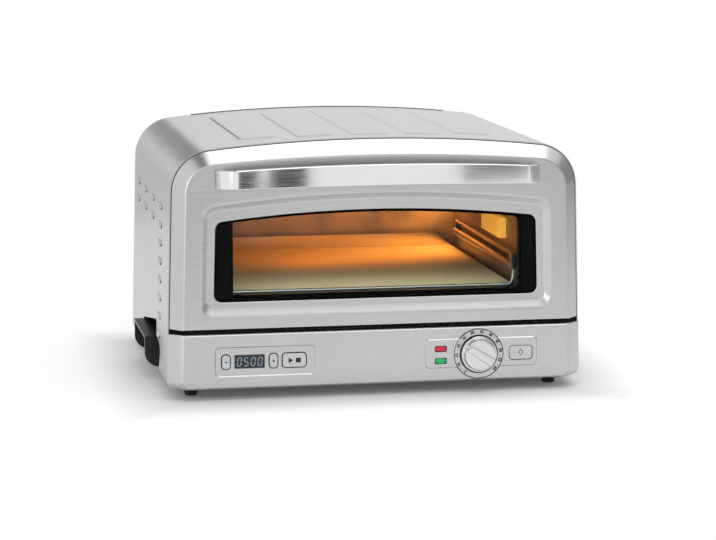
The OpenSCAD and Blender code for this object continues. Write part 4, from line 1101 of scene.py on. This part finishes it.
def cards():
    # two narrow dark cards before the oven give the bowed handle its bands
    grey_card("card_handle_left", 0.02, upright(-0.30, -0.205, -1.34, 0.01, 0.17))
    grey_card("card_handle_right", 0.02, upright(-0.165, -0.04, -1.34, 0.01, 0.17))
    grey_card("card_front_right", 0.26, upright(0.74, 1.05, -2.0, 0, 1.2))
    grey_card("card_far_right", 0.45, upright(1.05, 1.9, -2.0, 0, 1.2))
    grey_card("card_right", 0.38, [(1.9, -1.6, 0), (1.9, 1.8, 0), (1.9, 1.8, 1.3), (1.9, -1.6, 1.3)])
    # darkens the shell's upper left corner and the left rims of the top pads
    grey_card("card_behind", 0.02, upright(-1.4, -0.12, 3.0, 0.76, 1.85))
    # darkens the upper left corner of the door's bevel
    grey_card("card_above_left", 0.03, [(-1.05, -1.6, 1.9), (-0.36, -1.6, 1.9), (-0.36, 0.6, 1.9),
                                        (-1.05, 0.6, 1.9)])
    # tones down the left side
    grey_card("card_side", 0.7, upright(-1.2, -0.32, 1.4, 0, 0.34))


def world():
    sky = bpy.data.worlds.new("studio")
    sky.use_nodes = True
    tree = sky.node_tree
    background = tree.nodes["Background"]
    background.inputs["Color"].default_value = linear("#F6F7F8")
    background.inputs["Strength"].default_value = 0.62
    plain = add(tree, "ShaderNodeBackground", {"Color": (1, 1, 1, 1), "Strength": 1.0})
    mix = add(tree, "ShaderNodeMixShader", {0: background_seen(tree), 1: background.outputs["Background"],
                                            2: plain.outputs["Background"]})
    tree.links.new(mix.outputs["Shader"], tree.nodes["World Output"].inputs["Surface"])
    bpy.context.scene.world = sky


def lamp(name, kind, at, towards, power, size, colour="#FFFFFF"):
    light = bpy.data.lights.new(name, kind)
    light.energy = power
    light.color = linear(colour)[:3]
    if kind == "AREA":
        light.shape = "RECTANGLE"
        light.size, light.size_y = size
    else:
        light.shadow_soft_size = size
    holder = bpy.data.objects.new(name, light)
    holder.location = at
    holder.rotation_euler = (Vector(towards) - Vector(at)).to_track_quat("-Z", "Y").to_euler()
    bpy.context.scene.collection.objects.link(holder)
    return holder


def camera():
    """The photograph's viewpoint: low, a little to the left, from about three metres."""
    yaw, pitch = 0.184956, 0.153398
    focal_px, picture_w = 2551.3, 716.0
    lens = bpy.data.cameras.new("camera")
    lens.sensor_width = 36.0
    lens.lens = focal_px / picture_w * lens.sensor_width
    holder = bpy.data.objects.new("camera", lens)
    holder.location = CAMERA_AT
    holder.rotation_euler = (math.pi / 2 - pitch, 0, -yaw)
    bpy.context.scene.collection.objects.link(holder)
    bpy.context.scene.camera = holder


def dress(coat, *names):
    for name in names:
        nodes[name].data.materials.clear()
        nodes[name].data.materials.append(coat)


shell()
louvre_hoods()
top_pads()
rear_rim()
carrier_hooks()
door()
glass_border()
handle()
fascia()
for button_node, button_x, button_w, key in (("minus_button", MINUS_X, STEP_BUTTON_W, "minus_key"),
                                             ("plus_button", PLUS_X, STEP_BUTTON_W, "plus_key"),
                                             ("start_button", START_X, BUTTON_W, "start_key"),
                                             ("light_button", LIGHT_X, BUTTON_W, "light_key")):
    button(button_node, button_x, button_w, key)
button_marks()
dark_rims()
lamp_cap("power_lens", LAMP_DZ, red_cap)
lamp_cap("ready_lens", -LAMP_DZ, green_cap)
display()
dial()
scale_ring()
ring_figures()

for name in ("side_handle_left", "side_handle_right"):
    cad_copy(name, black_plastic, 0.9)
for name in ("foot_front_left", "foot_front_right", "foot_rear_left", "foot_rear_right"):
    cad_copy(name, black_rubber, 0.5)
# the rails' chrome is painted dark and brown for their shade in the warm-lit cavity
for name in ("rack_rail_left", "rack_rail_right"):
    cad_copy(name, rail_chrome_painted_dark)
cad_copy("stone_carrier", chrome_wire)
cad_copy("pizza_stone", stone, 0.8)
cad_copy("lamp_lens", lamp_glow, 0.8)

dress(steel_shell, "rear_panel")
dress(steel_zinc, "base_pan", "hinge_bracket_left", "hinge_bracket_right", "hinge_pins", "door_hinge_left",
      "door_hinge_right", "foot_screws", "rear_screws", "handle_screws", "dial_shaft", "thermostat_probe")
dress(steel_wall, "cavity_top", "cavity_left", "cavity_right", "cavity_back", "lamp_housing")
# the mouth frame is coated black; the cavity floor's black is painted shade under the stone
dress(black_enamel_and_painted_shade, "mouth_frame", "cavity_floor", "door_inner_panel")
dress(heater_steel, "upper_heater", "lower_heater")
dress(pale_ceramic, "heater_terminals")
dress(wool, "insulation_blanket")
dress(pane_glass, "door_glass", "door_inner_glass")
dress(black_rubber, "door_seal", "cord_gland", "handle_pads")
dress(dark_board, "control_board")
dress(black_plastic, "display_module", "button_switches", "dial_control")
dress(lamp_glow, "lamp_bulb", "indicator_leds")

floor()
cards()
world()
camera()
lamp("overhead", "AREA", (0.42, -0.35, 1.95), (0.42, -0.35, 0), 11.5, (1.55, 1.6))
lamp("strip_left", "AREA", (-1.9, -1.9, 0.75), (0, -0.1, 0.2), 7, (0.8, 1.5))
lamp("oven_light", "AREA", place(150, 305, 196), place(70, 350, 130), 0.27, (0.02, 0.06), "#FFA548")
lamp("oven_glow", "AREA", place(50, 290, 219), place(30, 360, 125), 0.68, (0.28, 0.14), "#FF8C34")
daylight = lamp("front_glow", "AREA", place(0, 52, 200), place(0, 56, 100), 0.22, (0.3, 0.03), "#F2F0DC")
daylight.visible_glossy = daylight.visible_transmission = False

scene = bpy.context.scene
scene.view_settings.view_transform = "Standard"
